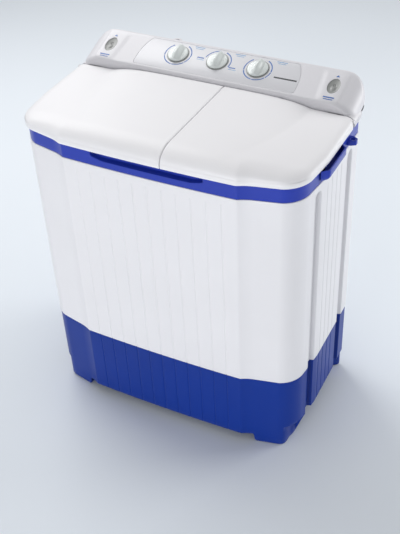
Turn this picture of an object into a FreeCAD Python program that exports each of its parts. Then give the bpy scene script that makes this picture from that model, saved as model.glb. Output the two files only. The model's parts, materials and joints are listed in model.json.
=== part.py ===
import FreeCAD, Part
import math
import os

# Twin tub washer: a wash tub and a spin dryer side by side in one cabinet.
# Frame: millimetres, X to the right, Y to the back, Z up. The origin is the centre of the
# footprint, on the floor. Each function below returns the shape of one separate piece.

V = FreeCAD.Vector

# Driving dimensions ----------------------------------------------------------------------
HALF_WIDTH = 340.0        # cabinet side face from the middle plane
BACK_Y = 180.0            # cabinet back face
FOOT_GAP = 2.0            # foot wall above the floor
PLINTH_Z = 25.0           # lower edge of the plinth between the feet
BASE_TOP_Z = 215.0        # joint between plinth and cabinet
CABINET_TOP_Z = 715.0     # joint between cabinet and top frame
BAND_TOP_Z = 750.0        # upper edge of the top frame's band
LID_BOTTOM_Z = 751.0      # lower edge of both lids
LID_TOP_Z = 790.0         # flat top of both lids
CONSOLE_TOP_Z = 832.0     # top edge of the control console
WALL = 3.0                # moulded wall thickness
BAND_INSET = 1.5          # plinth and band lie this far inside the cabinet face
FIT_GAP = 0.2             # gap of a push-in spigot

# Front of the plan outline, right half
BOW_Y = -181.0            # front face at the middle
STEP = (206.0, -177.0)    # edge where the front steps back
STEP_MID = (222.5, -169.4)
STEP_END = (240.0, -164.5)
CORNER_START = (292.0, -153.0)
CORNER_MID = (317.0, -136.5)
CORNER_END = (333.0, -100.0)
SIDE_START = (HALF_WIDTH, -30.0)
BACK_RADIUS = 15.0

# Flutes and channels of the walls
FLUTE_PITCH = 34.35
FLUTE_COUNT = 5           # on each side of the middle flute
FLUTE_WIDTH = 1.8
FLUTE_DEPTH = 0.9
FLUTE_TOP_Z = 697.0
SIDE_FLUTES_Y = (-19.0, 8.0, 36.0, 63.0)
CHANNELS_Y = ((-81.0, -49.0), (100.0, 132.0))
CHANNEL_DEPTH = 9.0
CHANNEL_TOP_Z = 700.0

# Base
FLOOR_Z = 60.0            # inside floor of the plinth
FOOT_X = 238.0            # feet lie outside this X
FOOT_FRONT_Y = -95.0
FOOT_BACK_Y = 120.0
PAD_R = 18.0

# Back of the cabinet, hose and cord
REAR_OPENING_X = (-250.0, 280.0)
REAR_OPENING_Z = (240.0, 620.0)
COVER_LAP = 14.0
COVER_T = 2.5
SCREW_R = 2.0
SCREW_HEAD_R = 4.0
HOSE_X = -8.0
HOSE_EXIT_Z = 110.0
HOSE_R = 14.0
HOSE_BACK_Y = 204.0
CORD_X = 240.0
CORD_Z = 300.0
CORD_R = 4.0

# Carry handles
HANDLE_Y = (-60.0, 60.0)
HANDLE_Z = (720.0, 746.0)
HANDLE_OUT = 14.0         # reach beyond the cabinet's side face

# Deck, lids and hinge
DECK_Z = 744.0
DECK_T = 3.0
SEAM_X = 39.0             # gap between the two lids
SEAM_HALF = 1.0
LID_OVERHANG = 4.0
LID_WALL = 2.5
HINGE_Y = 114.0
HINGE_Z = 783.0
HINGE_ROLL = LID_TOP_Z - HINGE_Z
HINGE_SWEEP = 16.5        # lowest rear part of the lid, from the hinge axis
PIN_R = 2.0
RUNNING = 0.05            # radial clearance of a turning fit
EAR_T = 6.0
EAR_R = 4.2
EAR_PLAY = 0.6            # slot above the frame's ear, so that an open lid clears it
LID_EARS_X = {"wash": (-175.0, -20.0), "spin": (75.0, 175.0)}

# Wash side
WASH_X = (-318.0, 44.0)
WASH_Y = (-143.0, 105.0)
WASH_BOTTOM_Z = 330.0
WASH_CORNER = 70.0
WASH_OPEN_BACK_Y = 92.0
TUB_WALL = 2.5
TUB_FLANGE = 6.0
PULSATOR = (-137.0, -19.0)
PULSATOR_R = 108.0
SHAFT_R = 6.0
PULLEY_Z = 255.0
PULLEY_H = 16.0
BIG_PULLEY_R = 95.0
SMALL_PULLEY_R = 25.0
GROOVE_DEPTH = 7.0
BELT_H = 8.0
WASH_MOTOR = (-262.0, 75.0)
WASH_MOTOR_Z = (130.0, 220.0)
WASH_MOTOR_R = 48.0
DRAIN = (HOSE_X, 45.0)
DRAIN_HOLE_R = 14.0
SHAFT_HOLE_R = 18.0
VALVE_Z = (268.0, WASH_BOTTOM_Z)
SEAT_Z = 304.0            # upper face of the drain valve's seat
PLUG_H = 8.0
OUTLET_Z = 284.0
OUTLET_R = 11.0

# Spin side
SPIN = (195.0, -15.0)
SPIN_TUB_R = 135.0
SPIN_BOTTOM_Z = 372.0
SPIN_OPEN_R = 117.0
BASKET_R = 115.0
BASKET_Z = (410.0, 725.0)
SPIN_SHAFT_R = 8.0
BRAKE_R = 38.0
BRAKE_Z = (255.0, 285.0)
INNER_HINGE = (109.0, 755.0)    # Y and Z of the safety cover's hinge
INNER_EAR_R = 3.5
INNER_PIN_R = 1.5
INNER_EARS_X = (155.0, 215.0)
COLLAR_TOP_Z = 751.0
SPIN_DRAIN = (110.0, 40.0)
BRAKE_PIVOT = (252.0, 20.0)
BRAKE_GAP = 5.0           # between the resting shoe and the drum
SPIN_MOTOR_Z = (104.0, 225.0)
SPIN_MOTOR_R = 60.0

# Console
RISER_Y = 122.5
FACE_Z = 797.0            # lower edge of the sloping face
FACE_LEAN = math.radians(70.0)
BROW_S = 96.0             # upper end of the face, measured up the slope
CONSOLE_BACK_Y = 226.0
CONSOLE_END_R = 40.0      # rounding of the top towards both ends
CONSOLE_WRAP_R = 65.0     # plan radius of the front corners
CONSOLE_REAR_R = 25.0     # plan radius of the back corners
PANEL_HALF = 200.0
PANEL_S = (7.0, 92.0)     # extent up the slope
PANEL_T = 1.5
KNOB_S = 56.0             # knob axes, measured up the slope
KNOBS_X = {"wash_timer": -103.5, "mode": -3.5, "spin_timer": 96.5}
KNOB_R = 24.5
KNOB_H = 17.0
KNOB_SKIRT = (2.0, 6.0)   # heights of the round skirt above the panel
KNOB_GRIP_HALF = (4.0, 21.0)
KNOB_SHAFT_R = 3.0
DIMPLE_X = 278.0
DIMPLE_S = 47.5
DIMPLE_HALF = (14.0, 22.0)
TIMER_HALF = 24.0         # timer bodies: half width and depth behind the face
TIMER_DEPTH = 30.0
CONSOLE_BACK_X = (-300.0, 300.0)
CONSOLE_BACK_Z = (769.0, 815.0)
INLET_X = -144.0
INLET_Y = 245.0
INLET_Z = 783.0           # axis of the inlet's level run
INLET_R = 13.0
INLET_BORE_R = 7.5
SPIGOT_Z = (795.0, 813.0)

FACE_U = V(0, math.sin(FACE_LEAN), math.cos(FACE_LEAN))
FACE_N = V(0, -math.cos(FACE_LEAN), math.sin(FACE_LEAN))
BELT_Z = PULLEY_Z + (PULLEY_H - BELT_H) / 2.0


# Small helpers ---------------------------------------------------------------------------
def box(x, y, z):
    """Box from three (low, high) pairs."""
    return Part.makeBox(x[1] - x[0], y[1] - y[0], z[1] - z[0], V(x[0], y[0], z[0]))


def cyl(centre, z, r):
    """Upright cylinder."""
    return Part.makeCylinder(r, z[1] - z[0], V(centre[0], centre[1], z[0]))


def tube(centre, z, r_out, r_in):
    return cyl(centre, z, r_out).cut(cyl(centre, z, r_in))


def rod_x(x, y, z, r):
    """Cylinder along X."""
    return Part.makeCylinder(r, x[1] - x[0], V(x[0], y, z), V(1, 0, 0))


def rod_y(x, y, z, r):
    """Cylinder along Y."""
    return Part.makeCylinder(r, y[1] - y[0], V(x, y[0], z), V(0, 1, 0))


def fuse(shapes):
    """Union of a list of shapes, without leftover split faces."""
    whole = shapes[0]
    for piece in shapes[1:]:
        whole = whole.fuse(piece)
    return whole.removeSplitter()


def cut_all(shape, tools):
    for tool in tools:
        shape = shape.cut(tool)
    return shape


def mirror_x(shape):
    return shape.mirror(V(0, 0, 0), V(1, 0, 0))


def flat(point, z=0.0):
    return V(point[0], point[1], z)


def arc(a, b, c):
    """Edge of a circle through three points."""
    return Part.Arc(a, b, c).toShape()


def polygon_prism(points, direction):
    """Prism of a closed polygon of vectors."""
    wire = Part.makePolygon(list(points) + [points[0]])
    return Part.Face(wire).extrude(direction)


def revolve(profile, centre):
    """Solid from (radius, z) points turned about an upright axis."""
    points = [V(centre[0] + r, centre[1], z) for r, z in profile]
    face = Part.Face(Part.makePolygon(points + [points[0]]))
    return face.revolve(flat(centre), V(0, 0, 1), 360)


def pipe(points, bend, r_out, r_in=0.0):
    """Round tube along a polyline whose corners are rounded to the bend radius."""
    edges = []
    start = points[0]
    for before, corner, after in zip(points, points[1:], points[2:]):
        back = (before - corner).normalize()
        ahead = (after - corner).normalize()
        half = back.getAngle(ahead) / 2.0
        reach = bend / math.tan(half)
        first = corner + back * reach
        last = corner + ahead * reach
        bisector = (back + ahead).normalize()
        middle = corner + bisector * (bend / math.sin(half) - bend)
        edges.append(Part.makeLine(start, first))
        edges.append(arc(first, middle, last))
        start = last
    edges.append(Part.makeLine(start, points[-1]))
    path = Part.Wire(edges)
    along = points[1] - points[0]

    def sweep(radius):
        ring = Part.Wire(Part.makeCircle(radius, points[0], along))
        return path.makePipeShell([ring], True, False)

    outside = sweep(r_out)
    return outside.cut(sweep(r_in)) if r_in else outside


def spring(centre, z, coil_r, wire_r, pitch):
    """Coil spring with an upright axis."""
    height = z[1] - z[0] - 2 * wire_r
    helix = Part.makeHelix(pitch, height, coil_r)
    helix.translate(V(centre[0], centre[1], z[0] + wire_r))
    start = V(centre[0] + coil_r, centre[1], z[0] + wire_r)
    ring = Part.Wire(Part.makeCircle(wire_r, start, V(0, 1, 0)))
    return Part.Wire(helix).makePipeShell([ring], True, True)


# Plan outline and walls ------------------------------------------------------------------
def plan_face(inset=0.0):
    """Plan outline of the cabinet as a face at z = 0, moved inwards by inset."""
    def side(sign):
        """Edges from the front step to the middle of the back, on one side."""
        def at(point):
            return V(sign * point[0], point[1], 0)
        turn = BACK_RADIUS * (1 - math.sqrt(0.5))
        corner = (HALF_WIDTH, BACK_Y - BACK_RADIUS)
        corner_mid = (HALF_WIDTH - turn, BACK_Y - turn)
        back = (HALF_WIDTH - BACK_RADIUS, BACK_Y)
        return [
            arc(at(STEP), at(STEP_MID), at(STEP_END)),
            Part.makeLine(at(STEP_END), at(CORNER_START)),
            arc(at(CORNER_START), at(CORNER_MID), at(CORNER_END)),
            Part.makeLine(at(CORNER_END), at(SIDE_START)),
            Part.makeLine(at(SIDE_START), at(corner)),
            arc(at(corner), at(corner_mid), at(back)),
            Part.makeLine(at(back), V(0, BACK_Y, 0)),
        ]
    front = arc(V(-STEP[0], STEP[1], 0), V(0, BOW_Y, 0), flat(STEP))
    loop = Part.Wire(Part.__sortEdges__([front] + side(1) + side(-1)))
    face = Part.Face(loop)
    if inset:
        face = face.makeOffset2D(-inset, 2)
    return face


def prism(inset, z):
    """Upright prism of the plan outline."""
    face = plan_face(inset)
    face.translate(V(0, 0, z[0]))
    return face.extrude(V(0, 0, z[1] - z[0]))


def front_y(x):
    """Y of the bowed front face at x."""
    rise = STEP[1] - BOW_Y
    return STEP[1] - rise * (1 - (x / STEP[0]) ** 2)


def channels(grow, inset):
    """Cutters for the two deep upright channels of each side wall."""
    cutters = []
    for y0, y1 in CHANNELS_Y:
        y0, y1 = y0 - grow, y1 + grow
        radius = (y1 - y0) / 2.0
        top = CHANNEL_TOP_Z + grow - radius
        x = (HALF_WIDTH - CHANNEL_DEPTH - grow - inset, HALF_WIDTH + 20)
        slot = box(x, (y0, y1), (-5, top))
        slot = slot.fuse(rod_x(x, (y0 + y1) / 2.0, top, radius))
        cutters += [slot, mirror_x(slot)]
    return cutters


def flutes(inset, z):
    """Cutters for the fine upright lines of the front and the sides."""
    cutters = []
    half = FLUTE_WIDTH / 2.0
    for i in range(-FLUTE_COUNT, FLUTE_COUNT + 1):
        x = i * FLUTE_PITCH
        face = front_y(x) + inset
        cutters.append(box((x - half, x + half), (face - 5, face + FLUTE_DEPTH), z))
    for y in SIDE_FLUTES_Y:
        face = HALF_WIDTH - inset
        line = box((face - FLUTE_DEPTH, face + 5), (y - half, y + half), z)
        cutters += [line, mirror_x(line)]
    return cutters


def ring_wall(inset, z):
    """Wall of constant thickness that follows the plan outline and its channels."""
    outer = cut_all(prism(inset, z), channels(0.0, inset))
    inner = cut_all(prism(inset + WALL, z), channels(WALL, inset))
    return outer.cut(inner)


# Casing ----------------------------------------------------------------------------------
def cabinet():
    """Four-sided cabinet wall, fluted in front, with a service opening at the back."""
    z = (BASE_TOP_Z, CABINET_TOP_Z)
    wall = cut_all(ring_wall(0.0, z), flutes(0.0, (BASE_TOP_Z, FLUTE_TOP_Z)))
    opening = box(REAR_OPENING_X, (BACK_Y - 2 * WALL, BACK_Y + 1), REAR_OPENING_Z)
    holes = [rod_y(x, (BACK_Y - 2 * WALL, BACK_Y + 1), z, SCREW_R) for x, z in cover_screw_places()]
    return cut_all(wall.cut(opening), holes)


def cover_screw_places():
    """X and Z of the rear cover's screws."""
    half_lap = COVER_LAP / 2.0
    x0, x1 = REAR_OPENING_X[0] - half_lap, REAR_OPENING_X[1] + half_lap
    z0, z1 = REAR_OPENING_Z[0] - half_lap, REAR_OPENING_Z[1] + half_lap
    middle = (z0 + z1) / 2.0
    return [(x, z) for x in (x0, x1) for z in (z0, middle, z1)]


def rear_cover():
    """Service cover lapped over the cabinet's rear opening, with louvres."""
    x = (REAR_OPENING_X[0] - COVER_LAP, REAR_OPENING_X[1] + COVER_LAP)
    z = (REAR_OPENING_Z[0] - COVER_LAP, REAR_OPENING_Z[1] + COVER_LAP)
    plate = box(x, (BACK_Y, BACK_Y + COVER_T), z)
    depth = (BACK_Y - 1, BACK_Y + COVER_T + 1)
    cutters = [rod_y(x, depth, z, SCREW_R) for x, z in cover_screw_places()]
    cutters.append(rod_y(CORD_X, depth, CORD_Z, CORD_R + 0.5))
    louvre_pitch = 16.0
    for row in range(8):
        low = REAR_OPENING_Z[0] + 20 + row * louvre_pitch
        for x0 in (-220.0, -90.0, 40.0):
            cutters.append(box((x0, x0 + 110), depth, (low, low + 5)))
    return cut_all(plate, cutters)


def console_screw_places():
    """X and Z of the screws in the console's back."""
    return [(x, z) for x in (-290.0, -90.0, 60.0, 290.0) for z in (775.0, 809.0)]


def screw_along_y(x, z, y):
    """Pan-head screw driven towards the front; y is the plane under its head."""
    head = rod_y(x, (y, y + 2.5), z, SCREW_HEAD_R)
    cross = box((x - 2.5, x + 2.5), (y + 1.5, y + 3), (z - 0.5, z + 0.5))
    cross = cross.fuse(box((x - 0.5, x + 0.5), (y + 1.5, y + 3), (z - 2.5, z + 2.5)))
    return head.fuse(rod_y(x, (y - 5, y), z, SCREW_R)).cut(cross)


def panel_screws():
    """All the pan-head screws of the rear cover and the console's back."""
    cover = [screw_along_y(x, z, BACK_Y + COVER_T) for x, z in cover_screw_places()]
    console = [screw_along_y(x, z, CONSOLE_BACK_Y) for x, z in console_screw_places()]
    return Part.makeCompound(cover + console)


def foot_corners(shrink):
    """Boxes around the four feet, each shrunk on the sides that face the middle."""
    far = 2 * HALF_WIDTH
    corners = []
    for y in ((-far, FOOT_FRONT_Y - shrink), (FOOT_BACK_Y + shrink, far)):
        right = box((FOOT_X + shrink, far), y, (-5, FLOOR_Z))
        corners += [right, mirror_x(right)]
    return corners


def foot_pads():
    """Centres of the four rubber feet."""
    return [(sx * 285.0, y) for sx in (-1, 1) for y in (-122.0, 150.0)]


def base_plinth():
    """Plinth with a raised floor and four hollow feet."""
    wall = ring_wall(BAND_INSET, (PLINTH_Z, BASE_TOP_Z))
    floor = prism(BAND_INSET + WALL / 2.0, (FLOOR_Z, FLOOR_Z + WALL))
    floor = cut_all(floor, channels(WALL / 2.0, BAND_INSET))
    spigot_z = (BASE_TOP_Z - 8, BASE_TOP_Z + 8)
    spigot = prism(WALL + FIT_GAP, spigot_z).cut(prism(2 * WALL, spigot_z))
    spigot = cut_all(spigot, channels(WALL + FIT_GAP, 0.0))
    solid_foot = cut_all(prism(BAND_INSET, (FOOT_GAP, FLOOR_Z)), channels(0.0, BAND_INSET))
    hollow_z = (FOOT_GAP + 2 * WALL, FLOOR_Z)
    hollow = cut_all(prism(BAND_INSET + WALL, hollow_z), channels(WALL, BAND_INSET))
    pieces = [wall, floor, spigot]
    for corner, core in zip(foot_corners(0.0), foot_corners(WALL)):
        pieces.append(solid_foot.common(corner).cut(hollow.common(core)))
    body = fuse(pieces)
    cutters = flutes(BAND_INSET, (PLINTH_Z - 1, BASE_TOP_Z))
    cutters += [cyl(c, (0, FOOT_GAP + WALL), PAD_R) for c in foot_pads()]
    cutters.append(rod_y(HOSE_X, (BACK_Y - 10, BACK_Y + 5), HOSE_EXIT_Z, HOSE_R + 1.0))
    return cut_all(body, cutters)


def rubber_feet():
    return Part.makeCompound([cyl(c, (0, FOOT_GAP + WALL), PAD_R) for c in foot_pads()])


def rounded_box(x, y, z, radius):
    """Upright box with rounded vertical corners."""
    block = box(x, y, z)
    upright = [e for e in block.Edges if abs(e.Vertexes[0].Z - e.Vertexes[-1].Z) > 1]
    return block.makeFillet(radius, upright)


def grip_pocket(grow):
    """Finger recess at the top of the band's front, with sloping ends."""
    half = 131.0 + grow
    slope = 26.0
    low = BAND_TOP_Z - 18.0 - grow
    knee = BAND_TOP_Z - 12.0
    outline = [
        (-half, BAND_TOP_Z + 1), (-half, knee), (-half + slope, low),
        (half - slope, low), (half, knee), (half, BAND_TOP_Z + 1),
    ]
    back = BOW_Y + 14.0 + grow
    points = [V(x, -190.0, z) for x, z in outline]
    return polygon_prism(points, V(0, back + 190.0, 0))


def hinge_ear(x, y, z, thick, base_z):
    """Upright ear with a round end about a hinge axis along X."""
    half = thick / 2.0
    stem = box((x - half, x + half), (y - EAR_R, y + EAR_R), (base_z, z))
    return stem.fuse(rod_x((x - half, x + half), y, z, EAR_R))


def inner_lug(x):
    """Lug on the deck that holds one pivot of the spin safety cover."""
    y, z = INNER_HINGE
    r = INNER_EAR_R
    stem = box((x - 3, x + 3), (y - r, y + r), (DECK_Z + DECK_T, z))
    return stem.fuse(rod_x((x - 3, x + 3), y, z, r))


def top_frame():
    """Blue band with the deck around both openings and the hinge ears."""
    z = (CABINET_TOP_Z, BAND_TOP_Z)
    band = prism(BAND_INSET, z).cut(grip_pocket(0.0))
    hollow = prism(BAND_INSET + WALL, z).cut(grip_pocket(WALL))
    deck = prism(BAND_INSET + WALL / 2.0, (DECK_Z, DECK_Z + DECK_T)).cut(grip_pocket(WALL / 2.0))
    spigot_z = (CABINET_TOP_Z - 8, CABINET_TOP_Z + 6)
    spigot = prism(WALL + FIT_GAP, spigot_z).cut(prism(2 * WALL, spigot_z))
    wash_hole = rounded_box(
        (WASH_X[0] + TUB_WALL, WASH_X[1] - TUB_WALL), (WASH_Y[0] + TUB_WALL, WASH_OPEN_BACK_Y),
        (DECK_Z - 1, DECK_Z + DECK_T + 1), 60.0)
    spin_hole = cyl(SPIN, (DECK_Z - 1, DECK_Z + 20), SPIN_OPEN_R)
    collar = cyl(SPIN, (DECK_Z, COLLAR_TOP_Z), SPIN_OPEN_R + 2.0)
    pieces = [band.cut(hollow), deck, spigot, collar]
    for x in LID_EARS_X["wash"] + LID_EARS_X["spin"]:
        pieces.append(hinge_ear(x, HINGE_Y, HINGE_Z, EAR_T, DECK_Z + DECK_T))
    pieces += [inner_lug(x) for x in INNER_EARS_X]
    body = fuse(pieces)
    bores = [rod_x((-HALF_WIDTH, HALF_WIDTH), HINGE_Y, HINGE_Z, PIN_R)]
    for x in INNER_EARS_X:
        bores.append(rod_x((x - 4, x + 4), INNER_HINGE[0], INNER_HINGE[1], INNER_PIN_R + RUNNING))
    return cut_all(body, bores + [wash_hole, spin_hole])


def handle_right():
    """Trough-shaped carry handle with chamfered ends on the right of the band."""
    face = HALF_WIDTH - BAND_INSET
    out = HALF_WIDTH + HANDLE_OUT
    y0, y1 = HANDLE_Y
    slope = 12.0
    outline = [V(face, y0, 0), V(out, y0 + slope, 0), V(out, y1 - slope, 0), V(face, y1, 0)]
    block = polygon_prism([p + V(0, 0, HANDLE_Z[0]) for p in outline], V(0, 0, HANDLE_Z[1] - HANDLE_Z[0]))
    bevel_top = HANDLE_Z[0] + 9.0
    bevel = polygon_prism(
        [V(face + 5, -100, HANDLE_Z[0] - 1), V(out + 5, -100, HANDLE_Z[0] - 1),
         V(out + 5, -100, bevel_top + 3)],
        V(0, 200, 0))
    core = [V(face + WALL, y0 + 8, 0), V(out - WALL, y0 + slope + 4, 0),
            V(out - WALL, y1 - slope - 4, 0), V(face + WALL, y1 - 8, 0)]
    trough = polygon_prism([p + V(0, 0, HANDLE_Z[0] + 8) for p in core], V(0, 0, 40))
    return block.cut(bevel).cut(trough)


def handle_left():
    return mirror_x(handle_right())


def hose_hook():
    """Hexagonal loop on the right of the band that holds the end of the hose."""
    face = HALF_WIDTH - BAND_INSET
    y, z = 105.0, (723.0, 734.0)
    reach = face + 19.0
    outline = [(face, y - 12), (face + 8, y - 12), (reach, y - 5), (reach, y + 5), (face + 8, y + 12),
               (face, y + 12)]
    loop = polygon_prism([V(px, py, z[0]) for px, py in outline], V(0, 0, z[1] - z[0]))
    return loop.cut(cyl((face + 9.5, y), (z[0] - 1, z[1] + 1), 5.5))


# Lids ------------------------------------------------------------------------------------
def lid_block(x, inset):
    """Solid lid between two X planes, all faces moved inwards by inset."""
    roll = HINGE_ROLL - inset
    sweep = HINGE_SWEEP - inset
    rear = HINGE_Y + roll
    side_drop = math.sqrt(sweep ** 2 - roll ** 2)
    bottom = LID_BOTTOM_Z + inset
    top = LID_TOP_Z - inset
    front = BOW_Y - LID_OVERHANG + inset
    brow = (-134.0, top)
    lip = (front, LID_BOTTOM_Z + 12.0)
    lean = (front + 9.0, top - 9.0)

    def at(y, z):
        return V(x[0], y, z)
    diagonal = math.sqrt(0.5)
    low_angle = (math.atan2(-side_drop, roll) - math.pi / 2) / 2
    heel = HINGE_Y - inset
    edges = [
        Part.makeLine(at(front, bottom), at(*lip)),
        arc(at(*lip), at(*lean), at(*brow)),
        Part.makeLine(at(*brow), at(HINGE_Y, top)),
        arc(at(HINGE_Y, top), at(HINGE_Y + roll * diagonal, HINGE_Z + roll * diagonal), at(rear, HINGE_Z)),
        Part.makeLine(at(rear, HINGE_Z), at(rear, HINGE_Z - side_drop)),
        arc(at(rear, HINGE_Z - side_drop),
            at(HINGE_Y + sweep * math.cos(low_angle), HINGE_Z + sweep * math.sin(low_angle)),
            at(HINGE_Y, HINGE_Z - sweep)),
    ]
    if inset:
        edges.append(Part.makeLine(at(HINGE_Y, HINGE_Z - sweep), at(heel, HINGE_Z - sweep)))
    edges += [
        Part.makeLine(at(heel, HINGE_Z - sweep), at(heel, bottom)),
        Part.makeLine(at(heel, bottom), at(front, bottom)),
    ]
    slab = Part.Face(Part.Wire(edges)).extrude(V(x[1] - x[0], 0, 0))
    edge = HALF_WIDTH + LID_OVERHANG - inset
    arch = [
        (-edge, 740), (-edge, LID_BOTTOM_Z + 11), (-edge + 8, LID_BOTTOM_Z + 18 - inset),
        (-245, top - 6), (-205, top), (205, top), (245, top - 6),
        (edge - 8, LID_BOTTOM_Z + 18 - inset), (edge, LID_BOTTOM_Z + 11), (edge, 740),
    ]
    crown = polygon_prism([V(px, -250, pz) for px, pz in arch], V(0, 500, 0))
    return slab.common(crown).common(prism(inset - LID_OVERHANG, (740, 800)))


def lid(x, ears):
    """Hollow lid, open below, with hinge ears and slots for the frame's ears."""
    inside_x = (x[0] + LID_WALL, x[1] - LID_WALL)
    core = lid_block(inside_x, LID_WALL)
    mouth = prism(LID_WALL - LID_OVERHANG, (740, HINGE_Z - 12))
    mouth = mouth.common(box(inside_x, (-250, HINGE_Y + HINGE_ROLL - LID_WALL), (740, HINGE_Z)))
    pieces = [lid_block(x, 0.0).cut(fuse([core, mouth]))]
    half = EAR_T / 2.0
    for ear in ears:
        for side in (-1, 1):
            middle = ear + side * (half + 3.0)
            plate = box((middle - 2, middle + 2), (HINGE_Y - EAR_R, HINGE_Y + EAR_R), (HINGE_Z, LID_TOP_Z - 1))
            pieces.append(plate.fuse(rod_x((middle - 2, middle + 2), HINGE_Y, HINGE_Z, EAR_R)))
    body = fuse(pieces)
    for ear in ears:
        slot = box((ear - half - 1, ear + half + 1), (HINGE_Y - 14, HINGE_Y + 20),
                   (740, HINGE_Z + EAR_R + EAR_PLAY))
        bore = rod_x((ear - 12, ear + 12), HINGE_Y, HINGE_Z, PIN_R + RUNNING)
        body = body.cut(slot).cut(bore)
    return body


def wash_lid():
    return lid((-400.0, SEAM_X - SEAM_HALF), LID_EARS_X["wash"])


def spin_lid():
    return lid((SEAM_X + SEAM_HALF, 400.0), LID_EARS_X["spin"])


def lid_hinge_pins():
    ears = LID_EARS_X["wash"] + LID_EARS_X["spin"]
    return Part.makeCompound([rod_x((x - 9, x + 9), HINGE_Y, HINGE_Z, PIN_R) for x in ears])


def spin_inner_lid():
    """Flat safety cover over the spin basket, with moulded pivots and a finger tab."""
    y, z = INNER_HINGE
    plate_z = (COLLAR_TOP_Z, COLLAR_TOP_Z + 2.5)
    disc = cyl(SPIN, plate_z, SPIN_OPEN_R + 4.0)
    disc = disc.cut(box((0, 400), (y - 12, 200), (740, 800)))
    stiffener = tube(SPIN, (plate_z[1] - 0.5, plate_z[1] + 3), 70.0, 67.0)
    tab = box((SPIN[0] - 18, SPIN[0] + 18), (SPIN[1] - 100, SPIN[1] - 94), (plate_z[1] - 0.5, plate_z[1] + 8))
    pieces = [disc, stiffener, tab]
    inner = (INNER_EARS_X[0] + 4.0, INNER_EARS_X[1] - 4.0)
    for x in ((inner[0], inner[0] + 8), (inner[1] - 8, inner[1])):
        arm = box(x, (y - 14, y), (COLLAR_TOP_Z + 0.5, z))
        pieces += [arm.fuse(rod_x(x, y, z, INNER_EAR_R))]
    pieces.append(rod_x((INNER_EARS_X[0] - 3, inner[0] + 2), y, z, INNER_PIN_R))
    pieces.append(rod_x((inner[1] - 2, INNER_EARS_X[1] + 3), y, z, INNER_PIN_R))
    return fuse(pieces)


# Console ---------------------------------------------------------------------------------
def on_face(x, s, n=0.0):
    """Point on the console's sloping face: s up the slope, n out of it."""
    return V(x, RISER_Y, FACE_Z) + FACE_U * s + FACE_N * n


def face_cyl(x, s, n, r):
    """Cylinder normal to the sloping face between two heights n."""
    return Part.makeCylinder(r, n[1] - n[0], on_face(x, s, n[0]), FACE_N)


def console_block(inset):
    """Solid console, all faces moved inwards by inset."""
    y0 = RISER_Y + inset
    y1 = CONSOLE_BACK_Y - inset
    top = CONSOLE_TOP_Z - inset
    knee_z = FACE_Z - inset * math.tan(FACE_LEAN / 2.0)
    brow = on_face(0, BROW_S, -inset)
    profile = [V(0, y0, LID_BOTTOM_Z), V(0, y0, knee_z), V(0, brow.y, brow.z), V(0, y1 - 7, top),
               V(0, y1, top - 7), V(0, y1, 768), V(0, BACK_Y, LID_BOTTOM_Z)]
    half = HALF_WIDTH - inset
    slab = polygon_prism([p - V(half, 0, 0) for p in profile], V(2 * half, 0, 0))
    end_r = CONSOLE_END_R - inset
    gable = box((-half, half), (100, 240), (700, top))
    ridge = [e for e in gable.Edges if abs(e.Vertexes[0].Y - e.Vertexes[-1].Y) > 1 and e.Vertexes[0].Z > 800]
    gable = gable.makeFillet(end_r, ridge)
    wrap = rounded_box((-half, half), (y0, y0 + 200), (700, 900), CONSOLE_WRAP_R - inset)
    rear = rounded_box((-half, half), (y1 - 200, y1), (700, 900), CONSOLE_REAR_R - inset)
    return slab.common(gable).common(wrap).common(rear)


def console_lip(inset, top):
    """Lip under the console that continues the lids' lower edge."""
    lip = prism(inset - LID_OVERHANG, (LID_BOTTOM_Z, top))
    return lip.common(box((-400, 400), (RISER_Y + inset, 300), (700, 900)))


def lip_tongues():
    """Low strips that carry the lip forwards to the lids' side walls."""
    z = (LID_BOTTOM_Z, LID_BOTTOM_Z + 7.0)
    strip = prism(-LID_OVERHANG, z).cut(prism(WALL - LID_OVERHANG, z))
    return strip.common(box((-400, 400), (HINGE_Y + 1.0, RISER_Y + WALL), z))


def panel_plate(grow, n):
    """Plate in the face with curved upper corners; n is its depth range."""
    half = PANEL_HALF + grow
    s0, s1 = PANEL_S[0] - grow, PANEL_S[1] + grow
    points = [on_face(-half, s0, n[0]), on_face(-half, s1 - 24, n[0]), on_face(-half + 16, s1, n[0]),
              on_face(half - 16, s1, n[0]), on_face(half, s1 - 24, n[0]), on_face(half, s0, n[0])]
    return polygon_prism(points, FACE_N * (n[1] - n[0]))


def dimple(side):
    """Oval recess near one end of the console's face."""
    x = side * DIMPLE_X
    ring = Part.Wire(Part.Ellipse(on_face(x, DIMPLE_S + DIMPLE_HALF[1], -1.6),
                                  on_face(x + DIMPLE_HALF[0], DIMPLE_S, -1.6),
                                  on_face(x, DIMPLE_S, -1.6)).toShape())
    return Part.Face(ring).extrude(FACE_N * 10)


def console_housing():
    """Moulded console shell, open at the back and below."""
    outer = console_block(0.0).fuse(console_lip(0.0, 770.0)).fuse(lip_tongues())
    core = console_block(WALL).fuse(console_lip(WALL, 766.0))
    core = core.fuse(box((-300, 300), (RISER_Y + WALL, BACK_Y), (LID_BOTTOM_Z - 1, LID_BOTTOM_Z + 20)))
    back = box(CONSOLE_BACK_X, (CONSOLE_BACK_Y - 2 * WALL, CONSOLE_BACK_Y + 1), CONSOLE_BACK_Z)
    shell = outer.cut(core).cut(back)
    cutters = [panel_plate(0.0, (-PANEL_T, 10)), dimple(-1), dimple(1)]
    cutters += [face_cyl(x, KNOB_S, (-20, 5), 8.0) for x in KNOBS_X.values()]
    return cut_all(shell, cutters)


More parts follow.
